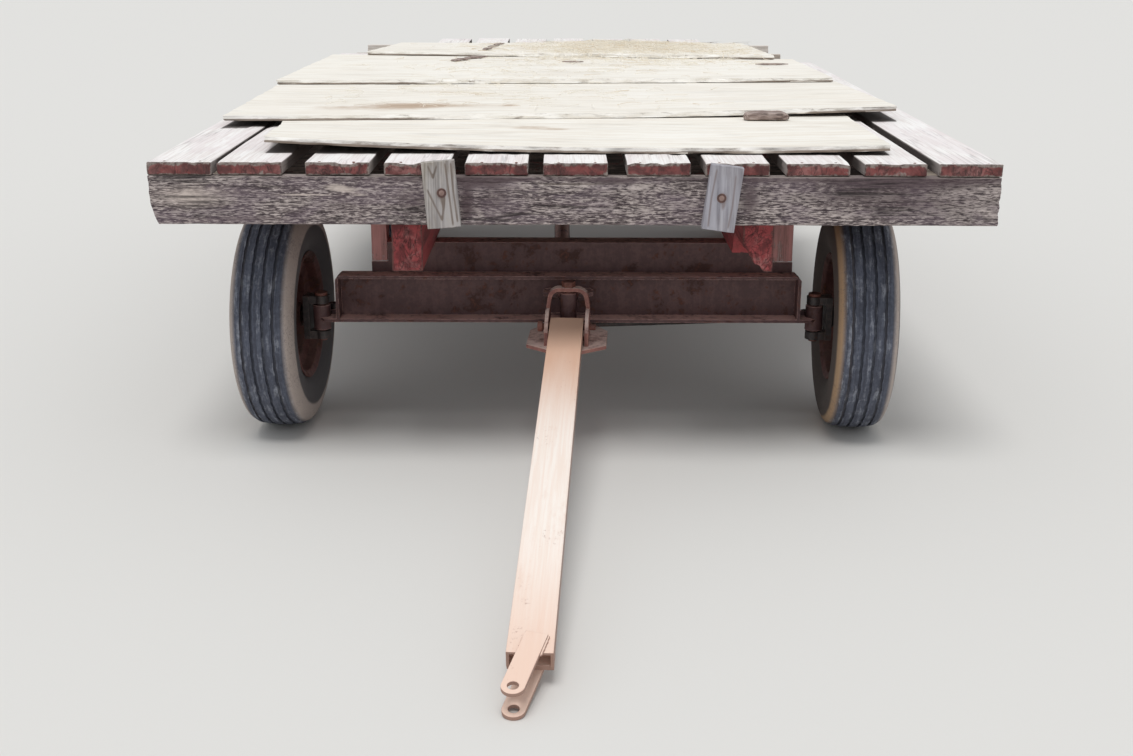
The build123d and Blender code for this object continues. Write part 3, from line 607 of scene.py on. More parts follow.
@dataclass(frozen=True)
class TimberFinish:
    """Bare or painted wood, greyed, stained and split along its grain, with painted shade on faces that don't face
    up.
    """

    name: str
    grain: Grain
    dark: Colour
    middle: Colour
    light: Colour
    # Colour of stains; dark marks lay it too, on some boards as painted shade.
    stain_and_shade: Colour
    light_share: float = 0.6
    stain_share: float = 0.5
    crack_share: float = 0.8
    dash_share: float = 0.0
    tint: Colour = srgb(110, 92, 110)
    tint_share: float = 0.0
    bleach: Colour = srgb(206, 192, 178)
    # Colour of faces that don't face up: greyer wood, and partly painted shade.
    side: Colour = srgb(122, 110, 104)
    side_share: float = 0.0
    top: Colour = srgb(214, 204, 194)
    top_share: float = 0.0
    paint: Colour = srgb(110, 45, 45)
    paint_share: float = 0.0
    end_paint: float = 0.0
    lip: Colour = srgb(176, 164, 152)
    lip_share: float = 0.0
    depth: float = 0.0016
    fibre: float = 170
    fibre_along: float = 5
    dash_along: float = 17
    tint_size: float = 3.4
    mark_break: float = 1.6
    roughness: float = 0.86

    def stretch(self, across: float, along: float) -> tuple[float, float, float]:
        """Scale of a pattern with so many features in a metre across the grain and along it."""
        scale = [across] * 3
        scale[self.grain.value] = along
        return tuple(scale)

    def material(self) -> bpy.types.Material:
        """Builds the wood: fibres, dashes, tinted areas, painted shade on the sides, stains, bleached and dark
        marks, and checks, then what is left of paint; some dark marks are painted shade.
        """
        graph = Graph(self.name)
        fibre = graph.noise(self.stretch(self.fibre, self.fibre_along), 5, 0.68)
        dash = graph.noise(self.stretch(self.fibre * 0.62, self.dash_along), 4, 0.64, 0.15)
        streak = graph.noise(self.stretch(30, 1.5), 4, 0.6)
        patch = graph.noise(self.stretch(6, 2.2), 6, 0.66, 0.6)
        broad = graph.noise(self.stretch(self.tint_size, self.tint_size * 0.4), 5, 0.6, 0.5)
        line = graph.noise(self.stretch(46, 1.1), 2, 0.5, 0.3)
        check = 1 - (abs(line - 0.5) * 26).clamped()
        check = check * patch.rising(0.42, 0.6) * self.crack_share
        tone = graph.attribute("tone")
        mark = graph.attribute("mark")
        up = graph.facing_up().rising(0.3, 0.8)
        grainy = fibre + (dash - 0.5) * self.dash_share + tone * 0.05
        graph.colour = graph.mix(self.dark, self.middle, grainy.rising(0.36, 0.56))
        graph.lay(self.light, (streak * 0.5 + grainy * 0.5).rising(0.46, 0.6) * self.light_share)
        if self.dash_share > 0:
            graph.lay(self.light, dash.rising(0.53, 0.6) * self.dash_share)
            graph.lay(self.dark, (1 - dash).rising(0.54, 0.61) * self.dash_share)
        if self.tint_share > 0:
            graph.lay(self.tint, broad.rising(0.44, 0.6) * self.tint_share)
        # Faces that don't face up take the side colour: greyer wood, and partly painted shade on the sides.
        if self.side_share > 0:
            graph.lay(self.side, (1 - up) * (0.6 + streak * 0.8).clamped() * self.side_share)
        if self.top_share > 0:
            graph.lay(self.top, up * (0.4 + fibre).clamped() * self.top_share)
        graph.lay(self.stain_and_shade, (patch + tone * 0.04).rising(0.52, 0.68) * self.stain_share)
        spread = (patch * 0.3 + fibre * 0.3 + dash * 0.4 - 0.5) * self.mark_break
        # Marks over zero lay the bleached colour. Marks under zero lay the stain colour: real stains, and on the
        # planks and along the header's top a painted shadow.
        graph.lay(self.bleach, (mark + spread * abs(mark)).rising(0.15, 0.75))
        graph.lay(self.stain_and_shade, (spread * abs(mark) - mark).rising(0.15, 0.75) * 0.85)
        height = fibre * 0.5 + streak * 0.3 + dash * 0.4 * self.dash_share - check
        if self.paint_share > 0:
            flake = graph.noise(self.stretch(26, 11), 8, 0.72)
            low = 0.76 - 0.3 * self.paint_share
            cover = (flake + fibre * 0.25 - abs(mark) * 0.1).rising(low - 0.04, low + 0.02)
            darker = (streak * 0.6 + patch * 0.4).rising(0.44, 0.62) * 0.6
            graph.lay(graph.mix(self.paint, self.dark, darker), cover)
            height = height + cover * 0.35
        if self.end_paint > 0:
            height = height + self.painted_ends(graph, broad) * 0.3
        if self.lip_share > 0:
            graph.lay(self.lip, graph.attribute("lip") * fibre.rising(0.4, 0.55) * self.lip_share)
        graph.lay(srgb(24, 18, 16), check)
        return graph.finish(self.roughness, height, self.depth)

    def painted_ends(self, graph: Graph, broad: Field) -> Field:
        """Lays bare wood and what is left of its paint on the end faces.

        Args:
            graph: The material's graph.
            broad: Noise of the discoloured areas.

        Returns:
            Where paint is left.
        """
        speckle = graph.noise(70, 5, 0.6)
        grit = graph.noise(22, 5, 0.6, 0.6)
        left = (grit * 0.7 + speckle * 0.3 - graph.attribute("rim") * 0.24).rising(0.3, 0.42)
        ends = graph.attribute("end").rising(0.25, 0.5)
        bare = graph.mix(self.side, srgb(70, 54, 50), speckle.rising(0.42, 0.62) * 0.8)
        coat = graph.mix(self.paint, graph.mix(self.paint, srgb(34, 22, 24), 0.6), grit.rising(0.42, 0.6))
        chalky = broad.rising(0.5, 0.66) * speckle.rising(0.36, 0.6) * 0.55
        coat = graph.mix(coat, srgb(176, 128, 124), chalky)
        split = 1 - (abs(graph.noise((34, 34, 14), 4, 0.6, 0.8) - 0.5) * 30).clamped()
        coat = graph.mix(coat, srgb(44, 22, 22), split * broad.rising(0.4, 0.5) * 0.8)
        graph.lay(bare, ends)
        graph.lay(coat, ends * left * self.end_paint)
        return ends * left


@dataclass(frozen=True)
class SteelFinish:
    """Painted steel, faded, rusting in patches, worn bright and given painted highlights at its edges, and dusty
    and painted lighter where it faces up.
    """

    name: str
    paint: Colour
    faded: Colour
    rust: Colour
    rust_share: float
    bright_rust: Colour = srgb(112, 66, 46)
    # Dust colour on faces that face up: dust, and on the gear and steering partly painted light on their tops.
    dust: Colour = srgb(140, 116, 108)
    dust_and_top_light_share: float = 0.35
    # Colour of the edges: worn paint, and partly painted highlights along them.
    edge: Colour = srgb(160, 112, 98)
    edge_share: float = 0.5
    roughness: float = 0.62
    size: float = 10

    def material(self) -> bpy.types.Material:
        """Builds the paint, its rust patches and pits, the streaks that run down, the dust with painted light on
        faces that face up, and the edges with painted highlights.
        """
        graph = Graph(self.name)
        size = self.size
        broad = graph.noise(size, 6, 0.62, 0.4)
        fine = graph.noise(size * 6, 7, 0.68)
        run = graph.noise((size * 4, size * 4, size * 0.5), 4, 0.6)
        pits = graph.noise(420, 3)
        limit = 0.68 - 0.34 * self.rust_share
        rusted = (broad * 0.62 + fine * 0.38).rising(limit - 0.02, limit + 0.05)
        graph.colour = graph.mix(self.paint, self.faded, (fine * 0.6 + run * 0.4).rising(0.42, 0.6))
        graph.lay(graph.mix(self.rust, self.bright_rust, fine.rising(0.52, 0.68)), rusted)
        # Faces that face up take the dust colour: dust, and partly painted light on the tops.
        settled = (broad * 0.5 + fine * 0.5).rising(0.3, 0.54)
        dusty = graph.facing_up().rising(0.3, 0.9) * settled * self.dust_and_top_light_share
        graph.lay(self.dust, dusty)
        # Sharp edges take the edge colour: worn paint, and partly a painted highlight.
        graph.lay(self.edge, graph.edges(0.004) * fine.rising(0.38, 0.56) * self.edge_share)
        roughness = (rusted * (0.9 - self.roughness) + dusty * 0.2 + self.roughness).clamped()
        return graph.finish(roughness, fine * 0.35 + pits * rusted * 0.5 - rusted * 0.3, 0.0006)


@dataclass(frozen=True)
class TonguePaint:
    """Sun-bleached primer on the tongue, streaked along its length and pinker towards both its ends."""

    drop: float
    steer: float
    cream: Colour = srgb(245, 229, 217)
    pale: Colour = srgb(250, 240, 231)
    rear: Colour = srgb(222, 180, 154)
    front: Colour = srgb(238, 204, 184)
    rust: Colour = srgb(150, 88, 66)
    shade: Colour = srgb(126, 84, 70)

    def material(self) -> bpy.types.Material:
        """Builds the primer: fine streaks, tints by the place along the tongue, scuffs, and rust at edges."""
        graph = Graph("bleached_primer")
        graph.turn(-self.drop, -self.steer)
        streak = graph.noise((150, 3, 60), 5, 0.66)
        wide = graph.noise((34, 2.2, 20), 5, 0.6, 0.3)
        cloud = graph.noise((14, 7, 14), 6, 0.64)
        fine = graph.noise(130, 5, 0.7)
        back = graph.coordinate(1)
        graph.colour = graph.mix(self.cream, self.pale, (streak * 0.5 + wide * 0.5).rising(0.42, 0.58))
        graph.lay(self.rear, (back + (wide - 0.5) * 0.4).rising(-2.1, -1.5) * 0.95)
        graph.lay(self.front, (back * -1 + (wide - 0.5) * 0.5).rising(2.45, 3.0) * 0.85)
        graph.lay(self.rear, (wide * 0.6 + cloud * 0.4).rising(0.54, 0.66) * 0.3)
        graph.lay(self.shade, (1 - graph.facing_up().rising(0.3, 0.75)) * 0.72)
        scuff = (fine * 0.5 + cloud * 0.5).rising(0.6, 0.66)
        graph.lay(self.rust, scuff * 0.5)
        graph.lay(self.rust, graph.edges(0.005) * (fine * 0.5 + wide * 0.5).rising(0.42, 0.56) * 0.35)
        return graph.finish(0.66, fine * 0.5 + streak * 0.5 - scuff * 0.6, 0.0005)


@dataclass(frozen=True)
class RubberFinish:
    """Old tyre rubber: blue-black ribs scuffed round the wheel, dusty walls, dark grooves."""

    rubber: Colour = srgb(66, 69, 81)
    worn: Colour = srgb(92, 97, 112)
    scuff: Colour = srgb(162, 165, 174)
    grey_dust: Colour = srgb(182, 168, 159)
    tan_dust: Colour = srgb(182, 150, 116)
    shadow: Colour = srgb(48, 50, 58)
    # Colour of the painted shade deep inside the walls.
    recess_shade: Colour = srgb(52, 54, 60)

    def material(self) -> bpy.types.Material:
        """Builds the rubber, then scuffs on its crown, dust on its walls, painted shade deep inside the walls, and
        painted shade in the grooves.

        The tyre's own map holds the distance round it and the distance across it, both in metres, so that
        scuffs run round the wheel.
        """
        graph = Graph("dusty_rubber")
        broad = graph.noise(7, 6, 0.65)
        fine = graph.noise(80, 6, 0.7)
        crack = graph.noise(170, 3, warp=1.2)
        around, patchy, scraped = (self.band(graph, *scale) for scale in ((5, 110), (12, 30), (15, 62)))
        wall = graph.attribute("wall")
        groove = graph.attribute("groove")
        graph.colour = graph.mix(self.rubber, self.worn, (around * 0.6 + fine * 0.4).rising(0.42, 0.6) * 0.8)
        graph.lay(self.scuff, (scraped * 0.5 + patchy * 0.35 + fine * 0.15).rising(0.5, 0.64) * 0.66)
        dust = graph.mix(self.grey_dust, self.tan_dust, graph.attribute("tan"))
        dust = graph.mix(dust, self.rubber, (broad * 0.4 + crack * 0.6).rising(0.5, 0.68) * 0.5)
        graph.lay(dust, wall * (0.75 + broad * 0.5).clamped() * 0.92)
        # Painted shade deep inside the tyre's walls, for the dark wheel opening.
        graph.lay(self.recess_shade, (graph.attribute("deep_shade") + (broad - 0.5) * 0.5).rising(0.2, 0.8) * 0.86)
        graph.lay(self.shadow, groove * (around * 0.9 + 0.1))
        height = fine * 0.5 + crack * 0.5 + around * 0.3
        return graph.finish((0.9 - around * 0.14).clamped(), height, 0.0009)

    def band(self, graph: Graph, along: float, across: float) -> Field:
        """Noise on the tyre's own map.

        Args:
            graph: The material's graph.
            along: Features in a metre round the tyre.
            across: Features in a metre across it.

        Returns:
            The noise.
        """
        sockets = {0: graph.attribute("round") * along, 1: graph.attribute("across") * across}
        return graph.noise_at(graph.node("ShaderNodeCombineXYZ", None, sockets), 5, 0.65)


@dataclass(frozen=True)
class StrawFinish:
    """Dry straw in several shades."""

    pale: Colour = srgb(252, 247, 236)
    brown: Colour = srgb(234, 220, 198)

    def material(self) -> bpy.types.Material:
        """Builds the straw's colour from a value that each stalk holds."""
        graph = Graph("dry_straw")
        fine = graph.noise(300, 2)
        graph.colour = graph.mix(self.brown, self.pale, graph.attribute("tone").rising(-1.0, -0.4))
        return graph.finish(0.7, fine, 0.0002)


# Timber

# How far in from an end, an edge or the top the wear of a board shows, in metres
END_REACH = 0.06
BITE_BACK, BITE_DOWN = 0.035, 0.018
RIM_IN, RIM_DOWN = 0.006, 0.011
LIP_IN = 0.005


def marks_at(points: Array, marks: Marks) -> Array:
    """Adds up soft marks: each is its strength times e to minus the squared distance, in units of its reach.

    Args:
        points: Places, shaped (n, 3).
        marks: Middle x, y, z, reach along x, y, z, and strength: over 0 bleached, under 0 dark.

    Returns:
        The sum at each place.
    """
    if not marks:
        return np.zeros(len(points))
    table = np.array(marks)
    away = (points[:, None] - table[:, :3]) / table[:, 3:6]
    return np.exp(-np.sum(away**2, axis=-1)) @ table[:, 6]


def face_marks(rows: Marks, axis: int, level: float, reach: float = 0.1) -> Marks:
    """Completes marks on one face, whose rows leave out the axis that it looks along.

    Args:
        rows: Two places, two reaches and the strength of each mark.
        axis: The axis left out.
        level: The face's place along it.
        reach: How far the marks go in.

    Returns:
        Rows for marks_at.
    """
    return tuple((*row[:axis], level, *row[axis:axis + 2], reach, *row[axis + 2:]) for row in rows)


@dataclass
class Timber:
    """A sawn board or beam, worn at its edges, ridged along its grain and eaten back at its ends."""

    low: Array
    high: Array
    grain: Grain
    seed: int
    step_along: float = 0.03
    step_across: float = 0.014
    wear: float = 0.004
    relief: float = 0.0012
    split: float = 0.003
    ragged: float = 0.004
    bow: float = 0.002
    dash: float = 0.0
    chip: float = 0.0
    fine_reach: float = 0.0
    marks: Marks = ()

    @classmethod
    def of_node(cls, node: str, grain: Grain, seed: int, **shape: float) -> "Timber":
        """Board that fills a frame node's box."""
        low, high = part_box(node)
        return cls(np.array(low), np.array(high), grain, seed, **shape)

    @classmethod
    def row_of_node(cls, node: str, axis: int, grain: Grain, seed: int, **shape: float) -> list[Surface]:
        """Skins of boards that fill the loose parts of a frame node.

        Args:
            node: The node's name.
            axis: The axis along which the parts follow each other.
            grain: Way of the fibres.
            seed: The first board's seed.
            shape: Other values of each board.

        Returns:
            One skin for each part.
        """
        skins = []
        for index, span in enumerate(part_spans(node, axis)):
            board = cls.of_node(node, grain, seed + index, **shape)
            board.low[axis], board.high[axis] = span
            skins.append(board.surface())
        return skins

    def grained(self, across: float, along: float) -> Array:
        """One number for each axis: the first across the grain and the second along it."""
        numbers = np.full(3, float(across))
        numbers[self.grain.value] = along
        return numbers

    def surface(self) -> Surface:
        """Builds the board.

        The worn edge puts a point at the wear radius from the inner box. Each point then sinks along its own
        normal by the ridges, dashes and checks, which are noise stretched along the grain, and the ends sink
        along it. Bites of noise are taken out of the low end's upper edge.

        Returns:
            The closed skin, with values of end face, end face's rim, marks and the board's own tone.
        """
        size = self.high - self.low
        along = self.grain.value
        seed = self.seed
        wear_most = min(self.wear * 1.4, size.min() * 0.35)
        steps, reaches = self.grained(self.step_across, self.step_along), self.grained(0, self.fine_reach)
        places, quads = box_shell([
            side_stations(size[axis], steps[axis], wear_most, reaches[axis], self.step_across)
            for axis in range(3)
        ])
        slow = places * 9 + seed * 3.7
        wear = wear_most * (0.65 + 0.35 * layered_noise(slow, seed))[:, None]
        inner = np.clip(places, wear, size - wear)
        normal = unit(places - inner)
        points = inner + normal * wear

        ridges = layered_noise(places * self.grained(0.36 / self.step_across, 2.2) + seed, seed + 5, 2)
        line = value_noise(places * self.grained(26, 1.3) + seed * 1.9, seed + 11)
        check = np.clip(1 - np.abs(line) * 9, 0, 1) ** 2
        check *= np.clip(value_noise(slow * 0.4, seed + 13) + 0.25, 0, 1)
        dashes = value_noise(places * self.grained(0.42 / self.step_across, 14) + seed * 2.3, seed + 29)
        sink = self.relief * (1 + ridges) + self.dash * (1 + dashes) + self.split * check
        points -= normal * (sink * (1 - np.abs(normal[:, along])))[:, None]

        cross = places * 55
        from_low, from_high = places[:, along], size[along] - places[:, along]
        for end, (way, away) in enumerate(((1, from_low), (-1, from_high))):
            cross[:, along] = seed + 50 * end
            eaten = np.clip(0.45 + 0.75 * layered_noise(cross, seed + 17 + 2 * end), 0, 1.2)
            points[:, along] += way * self.ragged * eaten * np.clip(1 - away / END_REACH, 0, 1) ** 2
        from_top = size[2] - places[:, 2]
        bite = np.clip(value_noise(cross * 0.7, seed + 31) * 2 - 0.35, 0, 1)
        bite *= np.clip(1.2 - from_low / BITE_BACK, 0, 1) * np.clip(1.1 - from_top / BITE_DOWN, 0, 1)
        points[:, 2] -= self.chip * bite

        bend = np.zeros((len(points), 3))
        bend[:, 0] = from_low * 0.7
        bend[:, 1] = seed
        points += self.low
        points[:, 2] += self.bow * (value_noise(bend, seed + 23) - 1) / 2
        from_edge = np.delete(np.minimum(places, size - places), along, axis=1)
        own = np.array([[seed * 1.37, 0.5, 0.5]])
        values = {
            "end": np.abs(normal[:, along]),
            "rim": np.clip(1.3 - np.minimum(from_edge.min(axis=1) / RIM_IN, from_top / RIM_DOWN), 0, 1),
            "lip": np.clip(1.4 - from_edge.max(axis=1) / LIP_IN, 0, 1),
            "mark": marks_at(points, self.marks),
            "tone": np.full(len(points), value_noise(own, 3)[0]),
        }
        return Surface(points, [quads], values)


@dataclass
class Sheet:
    """A loose sheet on the deck, drawn through cross sections from front to tail."""

    name: str
    sections: list[tuple]
    seed: int
    marks: Marks = ()
    pale_edge: tuple[float, float, float] = (0.0, 0.0, 0.0)
    # Share over which the front edge's painted shadow line is left out, over the sheet's middle.
    shadow_line_break: float = 0.0
    least_lift: float = 0.0
    thick: float = 0.018
    step: float = 0.018
    fray: float = 0.006
    gnaw: float = 0.012
    ripple: float = 0.0012
    edge_reach: float = 0.03

    def surface(self, deck_front: float, deck_top: float) -> Surface:
        """Builds the sheet.

        Each section gives its left and right end, in millimetres from the deck's centre line and front, and
        three heights of the underside. Across a section the height follows the parabola through the three,
        held at or above a share of the left one, and between sections all is straight. Noise frays the edges
        and gnaws the front one.

        Args:
            deck_front: Y of the deck's front edge.
            deck_top: Z of the planks.

        Returns:
            The closed skin.
        """
        lefts = np.array([section[0] for section in self.sections]) / 1000
        rights = np.array([section[1] for section in self.sections]) / 1000
        heights = np.array([section[2] for section in self.sections]) / 1000
        width = rights[0, 0] - lefts[0, 0]
        depth = lefts[-1, 1] - lefts[0, 1]
        flat, quads = box_shell([
            side_stations(width, self.step, 0.004),
            side_stations(depth, self.step, 0.004),
            np.array([0.0, 0.004, 0.009, 0.014, self.thick]),
        ])
        across = flat[:, 0] / width
        back = flat[:, 1] / depth
        known = (lefts[:, 1] - lefts[0, 1]) / depth
        left = np.stack([np.interp(back, known, lefts[:, axis]) for axis in (0, 1)], axis=-1)
        right = np.stack([np.interp(back, known, rights[:, axis]) for axis in (0, 1)], axis=-1)
        at_left, at_middle, at_right = (np.interp(back, known, heights[:, column]) for column in range(3))
        under = (
            at_left * (1 - across) * (1 - 2 * across)
            + 4 * at_middle * across * (1 - across)
            + at_right * across * (2 * across - 1)
        )
        under = np.maximum(under, at_left * self.least_lift)
        points = np.zeros_like(flat)
        points[:, :2] = left * (1 - across[:, None]) + right * across[:, None]
        points[:, 1] += deck_front
        layer = flat[:, 2] / self.thick
        rough = flat * np.array([22, 22, 120]) + self.seed
        fray = self.fray * np.clip(0.4 + layered_noise(rough, self.seed + 3), 0, 1.4)
        bites = value_noise(flat * np.array([16, 0, 30]) + self.seed * 2.1, self.seed + 6)
        gnawed = np.clip(bites * 2 - 0.7, 0, 1)
        for axis, share, extent in ((0, across, width), (1, back, depth)):
            low_side = np.clip(1 - share * extent / self.edge_reach, 0, 1)
            high_side = np.clip(1 - (1 - share) * extent / self.edge_reach, 0, 1)
            points[:, axis] += fray * (low_side - high_side) + self.gnaw * gnawed * low_side * axis
        ripple = self.ripple * layered_noise(flat * np.array([4, 9, 1]) + self.seed, self.seed + 9)
        points[:, 2] = deck_top + under + flat[:, 2] - self.ripple * layer + ripple * layer
        # The front edge's upper part is made pale; its bottom layer keeps the darker side colour as a painted
        # shadow line, which faded leaves out over the middle of some sheets.
        front_mark = np.interp(across, [0, 0.4, 1], self.pale_edge) * np.clip(1 - back * depth / 0.004, 0, 1)
        faded = self.shadow_line_break * np.clip((0.34 - np.abs(across - 0.56)) / 0.12, 0, 1)
        front_mark *= np.maximum(np.clip((flat[:, 2] - 0.004) / 0.005, 0, 1), faded)
        marks = face_marks(self.marks, 2, 0.02, 0.2)
        values = {
            "mark": marks_at(points - np.array([0, deck_front, deck_top]), marks) + front_mark,
            "tone": np.full(len(points), 0.3 * math.sin(self.seed)),
        }
        return Surface(points, [quads], values)


@dataclass
class Deck:
    """Planks, loose sheets, a broken lump of wood, nails and straw on top of the frame."""

    plank_finish: TimberFinish
    sheet_finish: TimberFinish
    lump_finish: TimberFinish
    nail_finish: SteelFinish
    straw_finish: StrawFinish
    straw_count: int = 2600
    heap_share: float = 0.9
    heap_middle: tuple[float, float] = (0.32, 3.75)
    heap_spread: tuple[float, float] = (0.34, 0.42)
    lump_corners: Marks = ((0.575, 0.80, 0.0195), (0.735, 0.87, 0.048))
    splinter_thick: float = 0.010
    nail_shares: tuple[float, float] = (0.24, 0.78)
    sheets: list[Sheet] = field(default_factory=lambda: [
        Sheet("sheet_1", [
            ((-916, 175), (935, 172), (31, 2, 11)),
            ((-958, 640), (948, 660), (3, 0.4, 2)),
            ((-975, 820), (955, 1020), (0, 0, 0)),
        ], 3, (
            (-0.14, 0.62, 0.08, 0.07, -0.50), (-0.05, 0.58, 0.06, 0.04, -0.4),
            (-0.36, 0.36, 0.05, 0.010, -0.4), (0.40, 0.44, 0.5, 0.16, 0.35),
        ), (0.6, 0.7, 0.45)),
        Sheet("sheet_2", [
            ((-1165, 750), (1125, 951), (19.8, 17, 35)),
            ((-1210, 1980), (1130, 2150), (0, 0, 0)),
        ], 5, (
            (-0.62, 1.08, 0.12, 0.15, -0.62), (-0.82, 1.02, 0.13, 0.10, -0.5),
            (-0.50, 1.10, 0.10, 0.10, -0.4), (-0.30, 1.12, 0.18, 0.08, -0.36),
            (-0.22, 1.12, 0.03, 0.03, -0.5), (0.30, 1.50, 0.6, 0.3, 0.4),
            (-0.20, 1.50, 0.03, 0.05, -0.5), (-0.02, 1.40, 0.02, 0.05, -0.5),
        ), (0.9, 0.9, 0.5), 1, 0.93),
        Sheet("sheet_3", [
            ((-1213, 1920), (1110, 2080), (20.2, 20.2, 21.4)),
            ((-1215, 3450), (1117, 3250), (0, 0, 0)),
        ], 8, (
            (0.94, 2.20, 0.08, 0.05, -0.35), (0.02, 2.95, 0.10, 0.05, -0.35),
            (-0.5, 2.4, 0.5, 0.4, 0.35), (-0.70, 2.00, 0.06, 0.03, -0.35),
        ), (0.9, 0.9, 0.6), 1),
        Sheet("sheet_4", [
            ((-1030, 3380), (1020, 3190), (20, 20.6, 21.2)),
            ((-951, 4260), (985, 4250), (0, 0, 0)),
        ], 12, ((-0.75, 3.75, 0.16, 0.3, -0.2), (-0.40, 3.70, 0.10, 0.4, -0.15)), (0.9, 0.9, 0.9), 1),
    ])
    splinters: Marks = (
        (-0.530, 3.04, 0.18, 0.046, 62), (-0.465, 3.19, 0.18, 0.050, 52), (-0.425, 3.56, 0.16, 0.034, 76),
        (-0.405, 3.80, 0.07, 0.020, 20), (-0.385, 4.02, 0.13, 0.026, 64), (0.95, 2.80, 0.16, 0.016, 3),
        (0.015, 2.92, 0.11, 0.010, -4),
    )

    def plank_spans(self) -> list[tuple[float, float, float, float]]:
        """Left, right, front and tail of each plank, read from the loose parts of the frame's own node."""
        points = node_points("deck_planks")
        spans = []
        for left, right in part_spans("deck_planks", 0):
            own = points[(points[:, 0] > left - 1e-3) & (points[:, 0] < right + 1e-3), 1]
            spans.append((left, right, own.min(), own.max()))
        return spans

    def build(self) -> None:
        """Makes all the pieces."""
        low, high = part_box("deck_planks")
        spans = self.plank_spans()
        boards = []
        for index, (left, right, front, tail) in enumerate(spans):
            board = Timber(
                np.array([left, front, low.z]), np.array([right, tail, high.z]), Grain.ALONG, 31 + index,
                step_along=0.055, step_across=0.0088, wear=0.0045, split=0.0025, ragged=0.005, bow=0.0015,
                chip=0.005, fine_reach=0.21,
            ).surface()
            # Plank tops under the sheets are darkened: painted shadow of the sheets, and partly wood kept
            # unbleached under them.
            covered = self.height_at(board.points[:, 0], board.points[:, 1] - low.y - 0.004, high.z) > high.z
            board.values["mark"] -= 1.2 * covered
            # Plank sides in the gaps, below the top and more so further from the front, are darkened: painted
            # shade between the planks.
            x, y, z = board.points.T
            inner = ((x < left + 0.002) & (index > 0)) | ((x > right - 0.002) & (index < len(spans) - 1))
            board.values["mark"] -= inner * (z < high.z - 0.006) * np.clip((y - front) / 0.14 - 0.1, 0, 0.9)
            boards.append(board)
        add_piece("planks", joined(boards), self.plank_finish.material(), "root",
                  ("deck_planks",))
        wood = self.sheet_finish.material()
        for number, sheet in enumerate(self.sheets, 1):
            add_piece(sheet.name, sheet.surface(low.y, high.z), wood, "root",
                      (f"deck_panel_{number}",))
        rotten = self.lump_finish.material()
        self.build_lump(rotten, low.y, high.z)
        self.build_splinters(rotten, low.y, high.z)
        self.build_nails(spans, low.y, high.z)
        self.build_straw(low.y, high.z)

    def build_lump(self, rotten: bpy.types.Material, front: float, top: float) -> None:
        """A short rotten offcut that lies against the second sheet's front edge."""
        low, high = (np.array([0, front, top]) + corner for corner in self.lump_corners)
        lump = Timber(
            low, high, Grain.ACROSS, 91, step_along=0.006, step_across=0.006, wear=0.012, relief=0.004,
            split=0.006, ragged=0.012, bow=0,
        ).surface()
        middle = (low + high) / 2
        from_end = np.abs(lump.points[:, 0] - middle[0]) / (high[0] - low[0]) * 2
        girth = np.clip(1 - from_end**6, 0.25, 1) ** 0.5 * (1 + 0.03 * np.sin(lump.points[:, 0] * 110))
        lump.points[:, 1] = middle[1] + (lump.points[:, 1] - middle[1]) * girth
        lump.points[:, 2] = low[2] + (lump.points[:, 2] - low[2]) * girth
        add_piece("broken_lump", lump, rotten, "root")

    def build_splinters(self, rotten: bpy.types.Material, front: float, top: float) -> None:
        """Dark slivers of rotten wood on the tail sheet, each a small board turned about the upright axis."""
        slivers = []
        for index, (x, back, length, width, angle) in enumerate(self.splinters):
            half = np.array([length, width, self.splinter_thick]) / 2
            sliver = Timber(
                -half, half, Grain.ACROSS, 101 + index, step_along=0.006, step_across=0.004, wear=0.004,
                relief=0.001, split=0.003, ragged=0.008, bow=0,
            ).surface()
            pointed = np.clip(1.08 - np.abs(sliver.points[:, 0] / half[0]) ** 1.7, 0.1, 1)
            sliver.points[:, 1] *= pointed * (1 + 0.3 * np.sin(sliver.points[:, 0] * 90 + index))
            sliver.points[:, 2] *= 0.35 + 0.65 * pointed
            ground = self.height_at(np.array([x]), np.array([back]), top)[0]
            sliver.points = sliver.points @ rotation(2, math.radians(angle)).T
            sliver.points += np.array([x, front + back, ground + half[2]])
            sliver.points[:, 2] = np.minimum(sliver.points[:, 2], HIGHEST)
            slivers.append(sliver)
        add_piece("splinters", joined(slivers), rotten, "root")

    def build_nails(self, spans: list[tuple[float, float, float, float]], front: float, top: float) -> None:
        """Two nail heads at the front of each plank, sunk flush."""
        head = np.array([[-0.002, 0.0], [-0.002, 0.0042], [-0.0002, 0.0042], [0.0004, 0.003], [0.0006, 0.0]])
        up = np.array([0.0, 0.0, 1.0])
        heads = []
        for index, (left, right, _, _) in enumerate(spans):
            for share in self.nail_shares:
                x = left + share * (right - left) + 0.006 * math.sin(5.0 * index + share)
                y = front + 0.024 + 0.005 * math.cos(7.0 * index + share)
                heads.append(rounded_rod(np.array([x, y, top - 0.0018]), up, head, 10))
        add_piece("nails", joined(heads), self.nail_finish.material(), "root")

